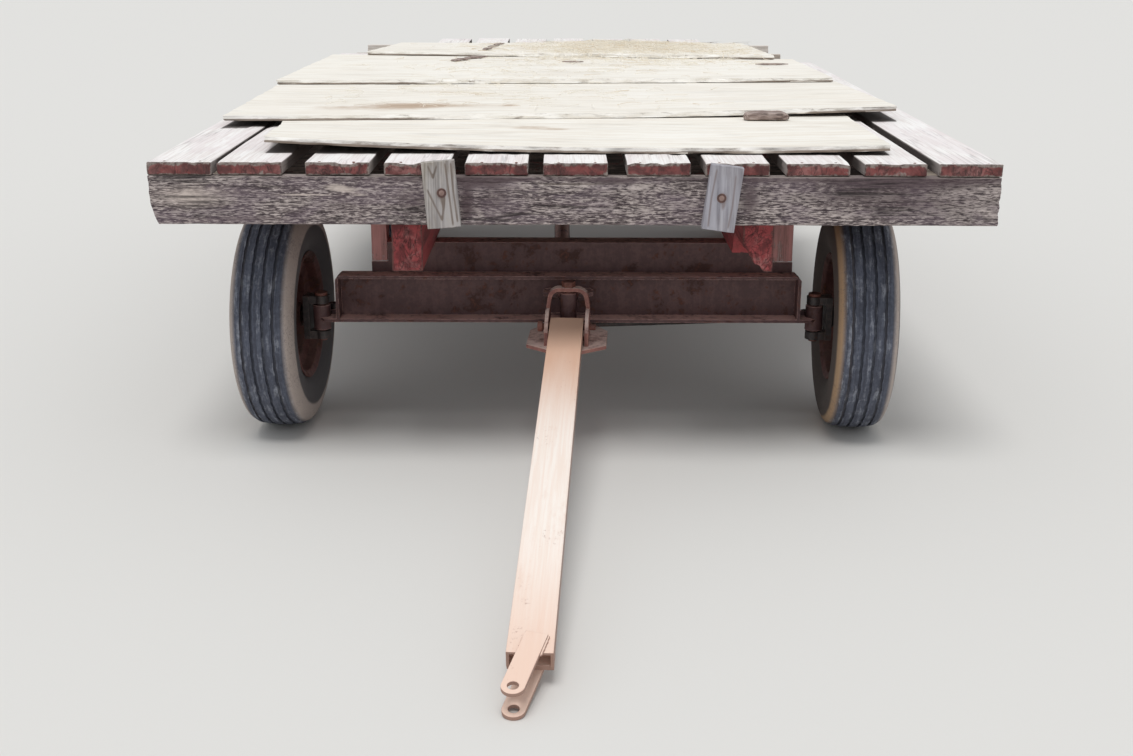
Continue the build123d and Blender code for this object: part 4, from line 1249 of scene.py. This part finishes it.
    def build_straw(self, front: float, top: float) -> None:
        """Stalks strewn over the tail half: each is a three-sided tube along a bent line.

        A stalk's line runs s from 0 to 1: straight ahead by its length, sideways by its curl times s²,
        and up by its spring times sin(pi s).
        """
        draw = np.random.default_rng(7)
        count = self.straw_count
        heap = draw.random(count) < self.heap_share
        heap_x, heap_y = self.heap_middle
        wide, deep_shade = self.heap_spread
        x = np.where(heap, draw.normal(heap_x, wide, count), draw.normal(-0.25, 0.4, count))
        y = np.where(heap, draw.normal(heap_y, deep_shade, count), draw.uniform(1.0, 3.2, count))
        keep = (x > -0.95) & (x < 1.0) & (y < 4.72)
        x, y = x[keep], y[keep]
        count = len(x)
        heading = draw.uniform(0, 2 * math.pi, count)
        length = draw.uniform(0.03, 0.15, count)
        curl = draw.normal(0, 0.009, count)
        spring = draw.uniform(0.0005, 0.006, count)
        radius = draw.uniform(0.0009, 0.0019, count)
        rings, sides = 6, 3
        each = rings * sides
        step = np.linspace(0, 1, rings)
        ahead = np.stack([np.cos(heading), np.sin(heading), np.zeros(count)], axis=-1)
        aside = np.stack([-np.sin(heading), np.cos(heading), np.zeros(count)], axis=-1)
        start = np.stack([x, y + front, np.zeros(count)], axis=-1)
        line = start[:, None] + ahead[:, None] * (length[:, None] * step)[..., None]
        line += aside[:, None] * (curl[:, None] * step**2)[..., None]
        ground = self.height_at(line[..., 0], line[..., 1] - front, top)
        line[..., 2] = ground + 0.0012 + spring[:, None] * np.sin(math.pi * step)
        pile = np.exp(-(((x - 0.3) / 0.4) ** 2) - ((y - 3.9) / 0.4) ** 2)
        line[..., 2] += (pile * draw.uniform(0, 0.022, count))[:, None]
        line[..., 2] += (pile * np.maximum(draw.normal(0, 0.012, count), 0))[:, None] * step
        corner = np.array([0.5, 2.6, 4.7])
        around = (
            aside[:, None, None] * np.cos(corner)[:, None] + np.array([0, 0, 1.0]) * np.sin(corner)[:, None]
        )
        taper = 1 - 0.55 * step
        points = line[:, :, None] + around * (radius[:, None] * taper)[..., None, None]
        wall = ring_faces(rings, sides, False)
        caps = np.array([[0, 1, 2], [each - 1, each - 2, each - 3]])
        offset = np.arange(count)[:, None, None] * each
        faces = [(wall + offset).reshape(-1, 4), (caps + offset).reshape(-1, 3)]
        tone = np.repeat(draw.uniform(-1, 1, count), each)
        points = points.reshape(-1, 3)
        points[:, 1] = np.minimum(points[:, 1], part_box("tail_header")[1].y - 0.004)
        points[:, 2] = np.minimum(points[:, 2], HIGHEST)
        straw = Surface(points, faces, {"tone": tone}).outward()
        add_piece("straw", straw, self.straw_finish.material(), "root")

    def height_at(self, x: Array, back: Array, top: float) -> Array:
        """Height of the sheets or planks at places on the deck, the later sheet over the earlier."""
        height = np.full(x.shape, top)
        for sheet in self.sheets:
            front_left, front_right, lifts = sheet.sections[0]
            tail_left, tail_right, _ = sheet.sections[-1]
            share = np.clip((x * 1000 - front_left[0]) / (front_right[0] - front_left[0]), 0, 1)
            front_line = (front_left[1] + share * (front_right[1] - front_left[1])) / 1000
            tail_line = (tail_left[1] + share * (tail_right[1] - tail_left[1])) / 1000
            inside = (back > front_line) & (back < tail_line)
            inside &= (x * 1000 > front_left[0]) & (x * 1000 < front_right[0])
            fall = (tail_line - back) / (tail_line - front_line)
            lift = sum(lifts) / 3000 * np.clip(fall, 0, 1)
            height = np.where(inside, top + sheet.thick + lift, height)
        return height


@dataclass
class Framing:
    """Header beams, joists, sills, stakes and the two cleats with their bolts."""

    header_finish: TimberFinish
    tail_finish: TimberFinish
    cleat_finishes: tuple[TimberFinish, TimberFinish]
    joist_finish: TimberFinish
    sill_finish: TimberFinish
    stake_finish: TimberFinish
    bolt_finish: SteelFinish
    washer_finish: SteelFinish
    cleat_arches: dict[str, tuple[tuple[tuple[float, float], ...], ...]] = field(default_factory=lambda: {
        "cleat_left": (
            ((-36, 18), (-20, -28), (-3, -72), (4, -40), (9, -8)), ((-27, 84), (-16, 50), (-2, 84)),
            ((22, 88), (24, 0), (26, -88)), ((38, 88), (37, 10), (40, -80)),
        ),
        "cleat_right": (((-30, 80), (-33, 0), (-30, -85)), ((26, 70), (30, -20), (27, -85))),
    })
    arch_step: float = 0.004
    arch_mark: tuple[float, float, float] = (0.0036, 0.005, -0.32)
    header_wear: Marks = ((0, 0), (0.5, 0.005), (0.88, 0.018), (1, 0.028))
    header_reach: float = 0.12
    rot_line: Marks = ((0, 0.084), (0.024, 0.058), (0.036, 0.030), (0.054, 0.022), (0.062, 0.0))
    rot_reach: float = 0.26

    def arch_marks(self, corners: tuple[tuple[float, float], ...]) -> Marks:
        """Dark marks close together along a bent line of grain.

        Args:
            corners: X and z of the line's corners, in millimetres.

        Returns:
            Rows for face_marks.
        """
        line = np.array(corners) / 1000
        walked = np.concatenate([[0], np.cumsum(np.linalg.norm(np.diff(line, axis=0), axis=1))])
        step = np.arange(0, walked[-1], self.arch_step)
        x, z = np.interp(step, walked, line[:, 0]), np.interp(step, walked, line[:, 1])
        return tuple((here, up, *self.arch_mark) for here, up in zip(x, z))

    def build(self) -> None:
        """Makes all the pieces."""
        self.build_header()
        joist = self.joist_finish.material()
        tail = Timber.of_node("tail_header", Grain.ACROSS, 71, step_along=0.02, step_across=0.01).surface()
        wood = self.tail_finish.material()
        add_piece("tail_beam", tail, wood, "root", ("tail_header",))
        rows = Timber.row_of_node("cross_joists", 1, Grain.ACROSS, 51, step_along=0.04)
        for row in rows:
            # Joist ends past |x| 1.02 are bleached: weathered wood, and partly painted light where they stand out
            # of the deck's shade.
            row.values["mark"] += 0.6 * np.clip((np.abs(row.points[:, 0]) - 1.02) / 0.08, 0, 1)
        add_piece("joists", joined(rows), joist, "root", ("cross_joists",))
        self.build_sills()
        self.build_cleats()

    def build_header(self) -> None:
        """The front beam, finely cut, whose left end wears back towards its lower edge."""
        low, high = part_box("front_header")
        # The long dark mark along the beam's top, at z 0.904, is painted shadow of the planks over it.
        marks = face_marks((
            (-0.685, 0.880, 0.035, 0.011, 0.65), (-0.645, 0.872, 0.04, 0.010, 0.6),
            (-0.61, 0.856, 0.03, 0.008, 0.6), (-0.67, 0.858, 0.016, 0.004, -0.8),
            (-0.48, 0.860, 0.08, 0.040, -0.26), (-1.08, 0.855, 0.16, 0.050, 0.24),
            (-0.66, 0.828, 0.09, 0.026, -0.4), (0.0, 0.904, 2.0, 0.008, -0.5),
            (-0.765, 0.858, 0.09, 0.0026, 0.9), (0.05, 0.850, 0.16, 0.030, 0.2),
            (0.25, 0.815, 0.20, 0.020, 0.1), (-1.10, 0.850, 0.14, 0.040, 0.3),
            (1.00, 0.842, 0.24, 0.060, -0.42), (-0.27, 0.895, 0.09, 0.018, -0.6),
            (-0.31, 0.835, 0.02, 0.060, -0.7), (-0.45, 0.830, 0.06, 0.030, -0.3),
            (-0.22, 0.845, 0.06, 0.050, -0.45), (0.50, 0.840, 0.03, 0.070, -0.55),
            (0.72, 0.860, 0.20, 0.050, -0.3), (1.0, 0.895, 0.3, 0.018, -0.4),
            (-0.95, 0.788, 0.30, 0.010, -0.5), (0.10, 0.895, 0.10, 0.010, -0.4),
        ), 1, low.y)
        header = Timber.of_node(
            "front_header", Grain.ACROSS, 7, step_along=0.0085, step_across=0.0032, wear=0.005, relief=0.0011,
            split=0.005, ragged=0.006, bow=0.0, dash=0.0009, marks=marks,
        ).surface()
        points = header.points
        down = np.clip((high.z - points[:, 2]) / (high.z - low.z), 0, 1)
        worn = np.interp(down, *zip(*self.header_wear))
        points[:, 0] += worn * np.clip(1 - (points[:, 0] - low.x) / self.header_reach, 0, 1)
        wood = self.header_finish.material()
        add_piece("header_beam", header, wood, "root", ("front_header",))

    def build_sills(self) -> None:
        """The painted sills, the right one rotted at its lower front corner, and the four stakes."""
        paint = self.sill_finish.material()
        left = Timber.of_node(
            "sill_left", Grain.ALONG, 81, step_along=0.04, step_across=0.008, ragged=0.003, bow=0,
            fine_reach=0.06,
        ).surface()
        add_piece("sill_beam_left", left, paint, "root", ("sill_left",))
        right = Timber.of_node(
            "sill_right", Grain.ALONG, 83, step_along=0.02, step_across=0.007, ragged=0.005, bow=0,
        ).surface()
        low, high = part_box("sill_right")
        points = right.points
        across = points[:, 0] - low.x
        back = np.clip((points[:, 1] - low.y) / self.rot_reach, 0, 1)
        eaten = np.interp(across, *zip(*self.rot_line))
        jagged = 0.012 * layered_noise(points * np.array([60, 14, 60]), 5)
        floor = low.z + np.clip((eaten + jagged) * np.clip((1 - back) * 6, 0, 1), 0, 0.1)
        points[:, 2] = np.maximum(points[:, 2], np.minimum(floor, high.z - 0.02))
        add_piece("sill_beam_right", right, paint, "root", ("sill_right",))
        stake_paint = self.stake_finish.material()
        for end in ("front", "rear"):
            node = f"{end}_stakes"
            pair = Timber.row_of_node(
                node, 0, Grain.UPRIGHT, 61, step_along=0.012, step_across=0.007, bow=0,
            )
            add_piece(f"stakes_{end}", joined(pair), stake_paint, "root", (node,))

    def build_cleats(self) -> None:
        """The leaning boards on the header's face, each with a rusty bolt and washer."""
        steel = self.bolt_finish.material()
        dark = self.washer_finish.material()
        toward = np.array([0.0, -1.0, 0.0])
        washer = [[-0.004, 0], [-0.004, 0.0135], [0.0008, 0.0135], [0.0014, 0.0128], [0.0014, 0]]
        head = [[0.001, 0], [0.001, 0.0078], [0.0019, 0.0076], [0.0024, 0.005], [0.0026, 0]]
        rows = (
            ("cleat_left", 5, 0.096, 0.192, 0.003, 0.006),
            ("cleat_right", -7, 0.094, 0.188, -0.004, 0.002),
        )
        for index, (node, lean, width, height, bolt_x, bolt_z) in enumerate(rows):
            low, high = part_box(node)
            middle = (np.array(low) + np.array(high)) / 2
            half = np.array([width / 2, (high.y - low.y) / 2, height / 2])
            marks = ((0.0, 0.004, 0.015, 0.017, -0.75), (0.004, -0.02, 0.007, 0.016, -0.6))
            for corners in self.cleat_arches[node]:
                marks += self.arch_marks(corners)
            board = Timber(
                -half, half, Grain.UPRIGHT, 21 + index, step_along=0.004, step_across=0.002, wear=0.0025,
                relief=0.0006, split=0.0022, ragged=0.002, bow=0, marks=face_marks(marks, 1, -half[1]),
            ).surface()
            board.points = board.points @ rotation(1, -math.radians(lean)).T + middle
            wood = self.cleat_finishes[index].material()
            add_piece(f"board_{node}", board, wood, "root", (node,))
            face = np.array([middle[0] + bolt_x, low.y + 0.0008, middle[2] + bolt_z])
            for label, profile, metal in (("washer", washer, dark), ("bolt", head, steel)):
                turned = rounded_rod(face, toward, np.array(profile), 28)
                add_piece(f"{label}_{node}", turned, metal, "root")


@dataclass
class Wheel:
    """One wheel: a ribbed tyre on its own axis, with the steel wheel and hub."""

    end: str
    side: str
    segments: int = 192
    groove_depth: float = 0.006
    groove_half: float = 0.0046
    grooves: tuple[float, ...] = (-0.050, -0.0185, 0.0165, 0.048)
    zigzag: float = 0.0011
    drift: float = 0.0016
    worn: float = 0.0012
    tread_radius: float = 0.366
    crown_half: float = 0.056
    crown_drop: float = 0.004
    seat_radius: float = 0.195
    nut_circle: float = 0.066
    nut_out: float = 0.038
    section: tuple[tuple[float, float], ...] = (
        (0.072, 0.195), (0.078, 0.211), (0.093, 0.241), (0.100, 0.280), (0.097, 0.318), (0.086, 0.346),
        (0.0705, 0.3575), (0.060, 0.3625),
    )

    def tyre_profile(self) -> tuple[Array, Array, Array]:
        """Works out the tyre's section as one closed line.

        The wall is a Catmull-Rom curve through the section's points: each span's cubic leaves and meets its
        ends along the chord of their neighbours. The crown is level, with square-sided grooves cut into it.

        Returns:
            Distances outboard, radii, and 1 where a point is in a groove.
        """
        known = np.array(self.section)
        padded = np.concatenate([known[:1] * 2 - known[1:2], known, [[0.048, 0.3655]]])
        share = np.linspace(0, 1, 5, endpoint=False)[:, None]
        spans = []
        for before, start, stop, after in zip(padded, padded[1:], padded[2:], padded[3:]):
            spans.append(0.5 * (
                2 * start + (stop - before) * share + (2 * before - 5 * start + 4 * stop - after) * share**2
                + (3 * start - before - 3 * stop + after) * share**3
            ))
        wall = np.concatenate(spans)
        crown = [np.linspace(-self.crown_half, self.crown_half, 17)]
        edge = self.groove_half
        for middle in self.grooves:
            crown.append(middle + np.array([-edge, -edge * 0.8, 0, edge * 0.8, edge]))
        outs = np.sort(np.concatenate(crown))[::-1]
        in_groove = np.min(np.abs(outs[:, None] - np.array(self.grooves)), axis=1) < self.groove_half * 0.9
        radii = self.tread_radius - self.crown_drop * (np.abs(outs) / self.crown_half) ** 3
        radii -= np.where(in_groove, self.groove_depth, 0)
        out = np.concatenate([wall[:, 0], outs, -wall[::-1, 0]])
        radius = np.concatenate([wall[:, 1], radii, wall[::-1, 1]])
        groove = np.concatenate([np.zeros(len(wall)), in_groove, np.zeros(len(wall))])
        return out, radius, groove

    def tyre(self) -> Surface:
        """Carries the tyre's section round the wheel's axis, its ribs wavering by a shallow zigzag."""
        joint = JOINTS[f"wheel_{self.end}_{self.side}_spin"]
        centre, axis = np.array(joint["pos_m"]), unit(np.array(joint["axis"], float))
        out, radius, groove = self.tyre_profile()
        seat = (out > -0.074) & (out < 0.074) & (radius < 0.22)
        radius = np.where(seat, np.minimum(radius, self.seat_radius), radius)
        angle = np.linspace(0, 2 * math.pi, self.segments, endpoint=False)
        around = circle(*square_to(axis), self.segments)
        zigzag = self.zigzag * (2 / math.pi) * np.arcsin(np.sin(angle * self.segments / 4))
        drift = self.drift * value_noise(around * 5, 47)
        on_crown = np.clip((0.062 - np.abs(out)) / 0.012, 0, 1) * (radius > 0.34)
        place = out + (zigzag + drift)[:, None] * on_crown
        worn = self.worn * layered_noise(around[:, None] * 3 + out[None, :, None] * 9, 41)
        reach = radius + worn * on_crown - self.worn
        points = centre + place[..., None] * axis + reach[..., None] * around[:, None]
        faces = ring_faces(self.segments, len(out), True)
        step = np.hypot(np.diff(out, prepend=out[0]), np.diff(radius, prepend=radius[0]))
        # Radius inside which each tyre's wall gets painted shade, for the dark wheel opening.
        recess_shade_radius = {"left": 0.308, "right": 0.343}[self.side]
        values = {
            "wall": np.tile(np.clip((0.358 - radius) / 0.008, 0, 1), self.segments),
            "deep_shade": np.tile(np.clip((recess_shade_radius - radius) / 0.02, 0, 1), self.segments),
            "groove": np.tile(groove, self.segments),
            "round": np.repeat(np.abs(angle - math.pi) * self.tread_radius, len(out)),
            "across": np.tile(np.cumsum(step), self.segments),
            "tan": np.tile((out < 0) * float(self.side == "right"), self.segments),
        }
        return Surface(points.reshape(-1, 3), [faces], values).outward()

    def build(self, rubber: bpy.types.Material, paint: bpy.types.Material, steel: bpy.types.Material) -> None:
        """Makes the tyre, the rounded wheel and hub, and the wheel's nuts."""
        label = f"{self.end}_{self.side}"
        body = f"wheel_{label}"
        add_piece(f"ribbed_tyre_{label}", self.tyre(), rubber, body, (f"tyre_{label}",), 50)
        softened(f"wheel_{label}", paint, 0.0015)
        softened(f"hub_{label}", paint, 0.0015)
        joint = JOINTS[f"wheel_{label}_spin"]
        axis = unit(np.array(joint["axis"], float)) * (1 if self.side == "right" else -1)
        first, second = square_to(axis)
        nut = np.array([
            [-0.002, 0], [-0.002, 0.0125], [0.010, 0.0125], [0.013, 0.010], [0.013, 0.007], [0.020, 0.0065],
            [0.021, 0.005], [0.021, 0],
        ])
        nuts = []
        for index in range(5):
            angle = 2 * math.pi * index / 5 + 0.3
            spoke = math.cos(angle) * first + math.sin(angle) * second
            place = np.array(joint["pos_m"]) + self.nut_circle * spoke + self.nut_out * axis
            nuts.append(rounded_rod(place, axis, nut, 6, angle))
        add_piece(f"wheel_nuts_{label}", joined(nuts), steel, body, (), 25)


@dataclass
class SteelWork:
    """Everything of steel apart from the wheels: gear, steering and tongue."""

    gear_finish: SteelFinish
    steering_finish: SteelFinish
    greasy_finish: SteelFinish
    tongue_finish: TonguePaint
    bare_finish: SteelFinish
    gear_nodes: tuple[str, ...] = (
        "front_axle", "rear_axle", "front_bolster", "rear_bolster", "reach_saddle", "reach_pipe",
        "reach_collar", "hound_left", "hound_right",
    )
    steering_nodes: tuple[str, ...] = ("yoke", "steering_plate")
    greasy_nodes: tuple[str, ...] = ("knuckle_left", "knuckle_right", "tie_rod_left", "tie_rod_right")
    bare_nodes: tuple[str, ...] = ("kingbolt", "hinge_pin", "kingpin_left", "kingpin_right")
    tongue_nodes: tuple[str, ...] = ("tongue", "hitch_clevis")
    strap_half: float = 0.026
    strap_root: tuple[float, float] = (0.0121, 1.519)
    tongue_front: float = 1.577
    tongue_top: float = 0.018
    strap_turn: float = math.radians(12.3)
    bead_radius: float = 0.0045
    ripple: float = 0.006
    bracket_heights: tuple[float, float] = (0.4635, 0.3795)
    bracket_half: float = 0.076

    def build(self) -> None:
        """Dresses the frame's steel nodes with rounded copies, and adds the welds."""
        tongue = self.tongue_finish.material()
        gear = self.gear_finish.material()
        for nodes, material in (
            (self.gear_nodes, gear),
            (self.steering_nodes, self.steering_finish.material()),
            (self.greasy_nodes, self.greasy_finish.material()),
            (self.bare_nodes, self.bare_finish.material()),
            (self.tongue_nodes, tongue),
        ):
            for node in nodes:
                softened(node, material)
        self.build_tongue_weld(tongue)
        self.build_axle_welds(gear)

    def bead(self, path: Array, seed: int, sides: int = 8) -> Surface:
        """Weld bead along a path: rings whose radius swells and shrinks by the ripples of the weld.

        Each ring lies square to the path's own direction. Its radius is the bead's, times one plus 0.12 times
        the sine of the distance in ripples, plus a quarter of noise. The ends close to points.

        Args:
            path: Places along the weld, shaped (n, 3).
            seed: Which noise is used.
            sides: Points round each ring.

        Returns:
            The closed skin.
        """
        ahead = unit(np.gradient(path, axis=0))
        helper = np.where(np.abs(ahead[:, 2:]) < 0.9, [[0.0, 0.0, 1.0]], [[0.0, 1.0, 0.0]])
        first = unit(np.cross(ahead, helper))
        second = np.cross(ahead, first)
        walked = np.concatenate([[0], np.cumsum(np.linalg.norm(np.diff(path, axis=0), axis=1))])
        swell = 1 + 0.12 * np.sin(walked * 2 * math.pi / self.ripple) + 0.25 * value_noise(path * 90, seed)
        swell[[0, -1]] *= 0.35
        around = circle(first[:, None], second[:, None], sides)
        return tube(path[:, None] + around * (self.bead_radius * swell)[:, None, None], path[[0, -1]])

    def build_tongue_weld(self, material: bpy.types.Material) -> None:
        """Bead round the root of the upper clevis strap, on the tongue's web, made level and let down."""
        across, ahead = math.cos(self.strap_turn), math.sin(self.strap_turn)
        x, root = self.strap_root
        half = self.strap_half
        right = np.array([across, -ahead]) * half
        along = np.array([-ahead, -across])
        middle = np.array([x, -root])
        reach = self.tongue_front - root
        corners = [
            middle - right + along * (reach - 0.01), middle - right, middle + right,
            middle + right + along * (reach + 0.008),
        ]
        runs = [np.linspace(start, stop, 16, endpoint=False) for start, stop in zip(corners, corners[1:])]
        flat = np.concatenate([*runs, [corners[-1]]])
        path = np.column_stack([flat, np.full(len(flat), self.tongue_top + 0.001)])
        bead = self.bead(path, 5)
        turn = rotation(2, self.tongue_finish.steer) @ rotation(0, self.tongue_finish.drop)
        bead.points = bead.points @ turn.T + np.array(JOINTS["tongue_lift"]["pos_m"])
        add_piece("clevis_weld", bead, material, BODY_OF["tongue"])

    def build_axle_welds(self, material: bpy.types.Material) -> None:
        """Beads where the brackets of the steering tube meet the front axle's flanges and web."""
        low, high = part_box("front_axle")
        saddle_low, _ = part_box("reach_saddle")
        middle = (low.x + high.x) / 2
        step = np.linspace(-1, 1, 33)[:, None]
        level = saddle_low.y - 0.012
        beads = []
        for index, height in enumerate(self.bracket_heights):
            start = np.array([middle, level, height])
            beads.append(self.bead(start + step * np.array([self.bracket_half, 0, 0]), 11 + index))
        add_piece("bracket_welds", joined(beads), material, BODY_OF["front_axle"])


@dataclass
class Studio:
    """Pale floor, soft light and the camera at the picture's viewing angle."""

    eye_x: float = -0.037
    eye_ahead: float = 4.03
    eye_height: float = 1.58
    pitch_down: float = 17.46
    turn_right: float = 0.22
    roll: float = 0.2
    lens: float = 45.25
    floor_half: float = 90
    floor_colour: Colour = srgb(222, 220, 216)
    sky: Colour = (0.95, 0.975, 1.0, 1.0)
    sky_strength: float = 0.6
    sun_strength: float = 1.6
    sun_size: float = 25
    sun_tilt: tuple[float, float] = (20, -4)

    def build(self) -> None:
        """Makes the floor, the lights, the camera and the colour settings."""
        half = self.floor_half
        corners = np.array([[-half, -half, 0], [half, -half, 0], [half, half, 0], [-half, half, 0]], float)
        mesh = bpy.data.meshes.new("floor")
        mesh.from_pydata(corners.tolist(), [], [(0, 1, 2, 3)])
        graph = Graph("pale_floor", self.floor_colour)
        mesh.materials.append(graph.finish(0.95, graph.noise(40, 3), 0.0002))
        new_object("floor", mesh)

        world = bpy.data.worlds.new("soft_sky")
        world.use_nodes = True
        background = world.node_tree.nodes["Background"]
        background.inputs["Color"].default_value = self.sky
        background.inputs["Strength"].default_value = self.sky_strength
        bpy.context.scene.world = world

        lamp = bpy.data.lights.new("soft_sun", "SUN")
        lamp.energy = self.sun_strength
        lamp.angle = math.radians(self.sun_size)
        new_object("soft_sun", lamp).rotation_euler = (*map(math.radians, self.sun_tilt), 0)

        data = bpy.data.cameras.new("camera")
        data.lens = self.lens
        data.sensor_width = 36
        data.sensor_fit = "HORIZONTAL"
        data.clip_end = 300
        camera = new_object("camera", data)
        camera.location = (self.eye_x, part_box("front_header")[0].y - self.eye_ahead, self.eye_height)
        aim = Euler((math.radians(90 - self.pitch_down), 0, -math.radians(self.turn_right))).to_matrix()
        camera.rotation_euler = (aim @ Matrix.Rotation(math.radians(self.roll), 3, "Z")).to_euler()
        bpy.context.scene.camera = camera
        bpy.context.scene.view_settings.view_transform = "Standard"


def tongue_attitude() -> tuple[float, float]:
    """Reads how far the tongue hangs down and is turned from its web's face and its hinge's axis.

    Returns:
        The drop below level and the turn about the upright axis, in radians.
    """
    axis = np.array(JOINTS["tongue_lift"]["axis"], float)
    axis *= math.copysign(1, axis[0])
    faces = frame["nodes"]["tongue"].data.polygons
    upward = np.empty(len(faces) * 3)
    faces.foreach_get("normal", upward)
    size = np.empty(len(faces))
    faces.foreach_get("area", size)
    upward = np.abs(upward[2::3])
    web = np.argmax(size * (upward > 0.5))
    return math.acos(upward[web]), math.atan2(axis[1], axis[0])


def main() -> None:
    """Builds the wagon's looks in order, then the studio."""
    logging.basicConfig(level=logging.INFO, format="%(message)s")
    Studio().build()
    # The planks' stain colour shows only through dark marks: painted shade under the sheets and on the plank sides
    # in the gaps.
    planks = TimberFinish(
        "bleached_planks", Grain.ALONG, srgb(228, 220, 216), srgb(242, 238, 235), srgb(249, 247, 245),
        srgb(62, 52, 47), 0.7, 0.0, 0.3, tint=srgb(226, 212, 214), tint_share=0.35,
        bleach=srgb(246, 242, 238), side=srgb(142, 130, 124), side_share=0.85,
        paint=srgb(130, 68, 66), end_paint=0.92, depth=0.0012, tint_size=9,
    )
    sheets = TimberFinish(
        "bleached_sheets", Grain.ACROSS, srgb(232, 223, 210), srgb(244, 239, 229), srgb(250, 247, 240),
        srgb(180, 152, 126), 0.7, 0.08, 0.2, bleach=srgb(250, 247, 241), side=srgb(122, 106, 94),
        side_share=0.9, depth=0.0006, fibre=120, mark_break=5,
    )
    lump = TimberFinish(
        "rotten_offcut", Grain.ACROSS, srgb(112, 94, 88), srgb(158, 140, 132), srgb(200, 184, 176),
        srgb(104, 84, 76), 0.5, 0.4, 0.6, 0.5,
    )
    header = TimberFinish(
        "weathered_beam", Grain.ACROSS, srgb(60, 50, 53), srgb(120, 108, 108), srgb(196, 184, 179),
        srgb(78, 62, 66), 0.55, 0.4, 0.8, 0.8, srgb(120, 103, 116), 0.3, srgb(204, 190, 182),
        top=srgb(150, 138, 130), top_share=0.6, lip=srgb(150, 138, 128), lip_share=0.2,
        depth=0.0022, fibre=400, fibre_along=22, dash_along=52, tint_size=14, mark_break=3,
    )
    tail = TimberFinish(
        "bleached_tail", Grain.ACROSS, srgb(196, 184, 173), srgb(224, 215, 206), srgb(238, 232, 225),
        srgb(164, 144, 128), 0.6, 0.25, 0.5, 0.2, side=srgb(206, 196, 187), side_share=0.3,
    )
    cleat = TimberFinish(
        "grey_cleat", Grain.UPRIGHT, srgb(134, 125, 115), srgb(170, 162, 153), srgb(194, 188, 182),
        srgb(112, 98, 88), 0.6, 0.12, 0.4, 0.1, srgb(174, 174, 186), 0.3, depth=0.0008, fibre=90,
        fibre_along=3, tint_size=8,
    )
    pale_cleat = replace(
        cleat, name="blue_cleat", dark=srgb(142, 138, 144), middle=srgb(166, 163, 169),
        light=srgb(184, 182, 188), stain_and_shade=srgb(132, 120, 120),
    )
    # The joists' dark colours are partly painted shade, for the gaps between the planks.
    joist = TimberFinish(
        "brown_joists", Grain.ACROSS, srgb(40, 33, 30), srgb(66, 56, 51), srgb(94, 83, 76), srgb(46, 35, 33),
        0.4, 0.5, 0.7, 0.4, top=srgb(120, 110, 102), top_share=0.4, paint=srgb(72, 40, 38), paint_share=0.2,
    )
    sill = TimberFinish(
        "red_sills", Grain.ALONG, srgb(90, 56, 54), srgb(140, 106, 102), srgb(168, 138, 132),
        srgb(74, 42, 42), 0.4, 0.3, 0.5, 0.3, side=srgb(116, 72, 68), side_share=0.3,
        paint=srgb(162, 70, 72), paint_share=0.85, end_paint=0.94, tint_size=12,
    )
    stake = TimberFinish(
        "dusty_stakes", Grain.UPRIGHT, srgb(142, 108, 104), srgb(196, 164, 160), srgb(212, 188, 182),
        srgb(140, 102, 98), 0.6, 0.3, 0.3, 0.3, paint=srgb(198, 142, 138), paint_share=0.7,
    )
    rust = SteelFinish(
        "rusty_iron", srgb(104, 64, 54), srgb(126, 78, 66), srgb(82, 50, 42), 0.5, dust_and_top_light_share=0.2,
    )
    Deck(planks, sheets, lump, rust, StrawFinish()).build()
    bolt = SteelFinish(
        "old_bolts", srgb(126, 100, 92), srgb(146, 122, 114), srgb(110, 80, 70), 0.35, srgb(134, 100, 84),
        edge_share=0.2,
    )
    # The washers are darker than the bolt heads: rust, and partly painted shade of the recess round each bolt.
    washer = SteelFinish(
        "dark_washers", srgb(78, 54, 50), srgb(94, 68, 62), srgb(70, 46, 42), 0.4, srgb(100, 66, 54),
        edge_share=0.2,
    )
    Framing(header, tail, (cleat, pale_cleat), joist, sill, stake, bolt, washer).build()
    # The gear's and the steering's light dust and edge colours are partly painted light on their tops and painted
    # highlights on their edges.
    gear = SteelFinish(
        "gear_paint", srgb(81, 55, 55), srgb(96, 68, 66), srgb(72, 48, 44), 0.42, srgb(98, 62, 52),
        srgb(208, 168, 160), 1.0, srgb(200, 158, 150), 0.75,
    )
    steering = SteelFinish(
        "steering_paint", srgb(132, 86, 79), srgb(156, 107, 97), srgb(110, 70, 62), 0.28, srgb(164, 110, 88),
        srgb(238, 212, 202), 1.0, srgb(210, 162, 144), 0.85,
    )
    greasy = SteelFinish(
        "greasy_steel", srgb(40, 34, 34), srgb(66, 56, 54), srgb(58, 42, 37), 0.4, srgb(88, 62, 48),
        srgb(116, 108, 104), 0.6, srgb(110, 98, 92), 0.4, 0.5,
    )
    drop, steer = tongue_attitude()
    SteelWork(gear, steering, greasy, TonguePaint(drop, steer), rust).build()
    rubber = RubberFinish().material()
    wheel_paint = SteelFinish(
        "wheel_paint", srgb(84, 44, 40), srgb(104, 62, 56), srgb(70, 46, 40), 0.45, dust_and_top_light_share=0.5,
    ).material()
    nuts = rust.material()
    for end, side in product(("front", "rear"), ("left", "right")):
        Wheel(end, side).build(rubber, wheel_paint, nuts)


if __name__ == "__main__":
    main()
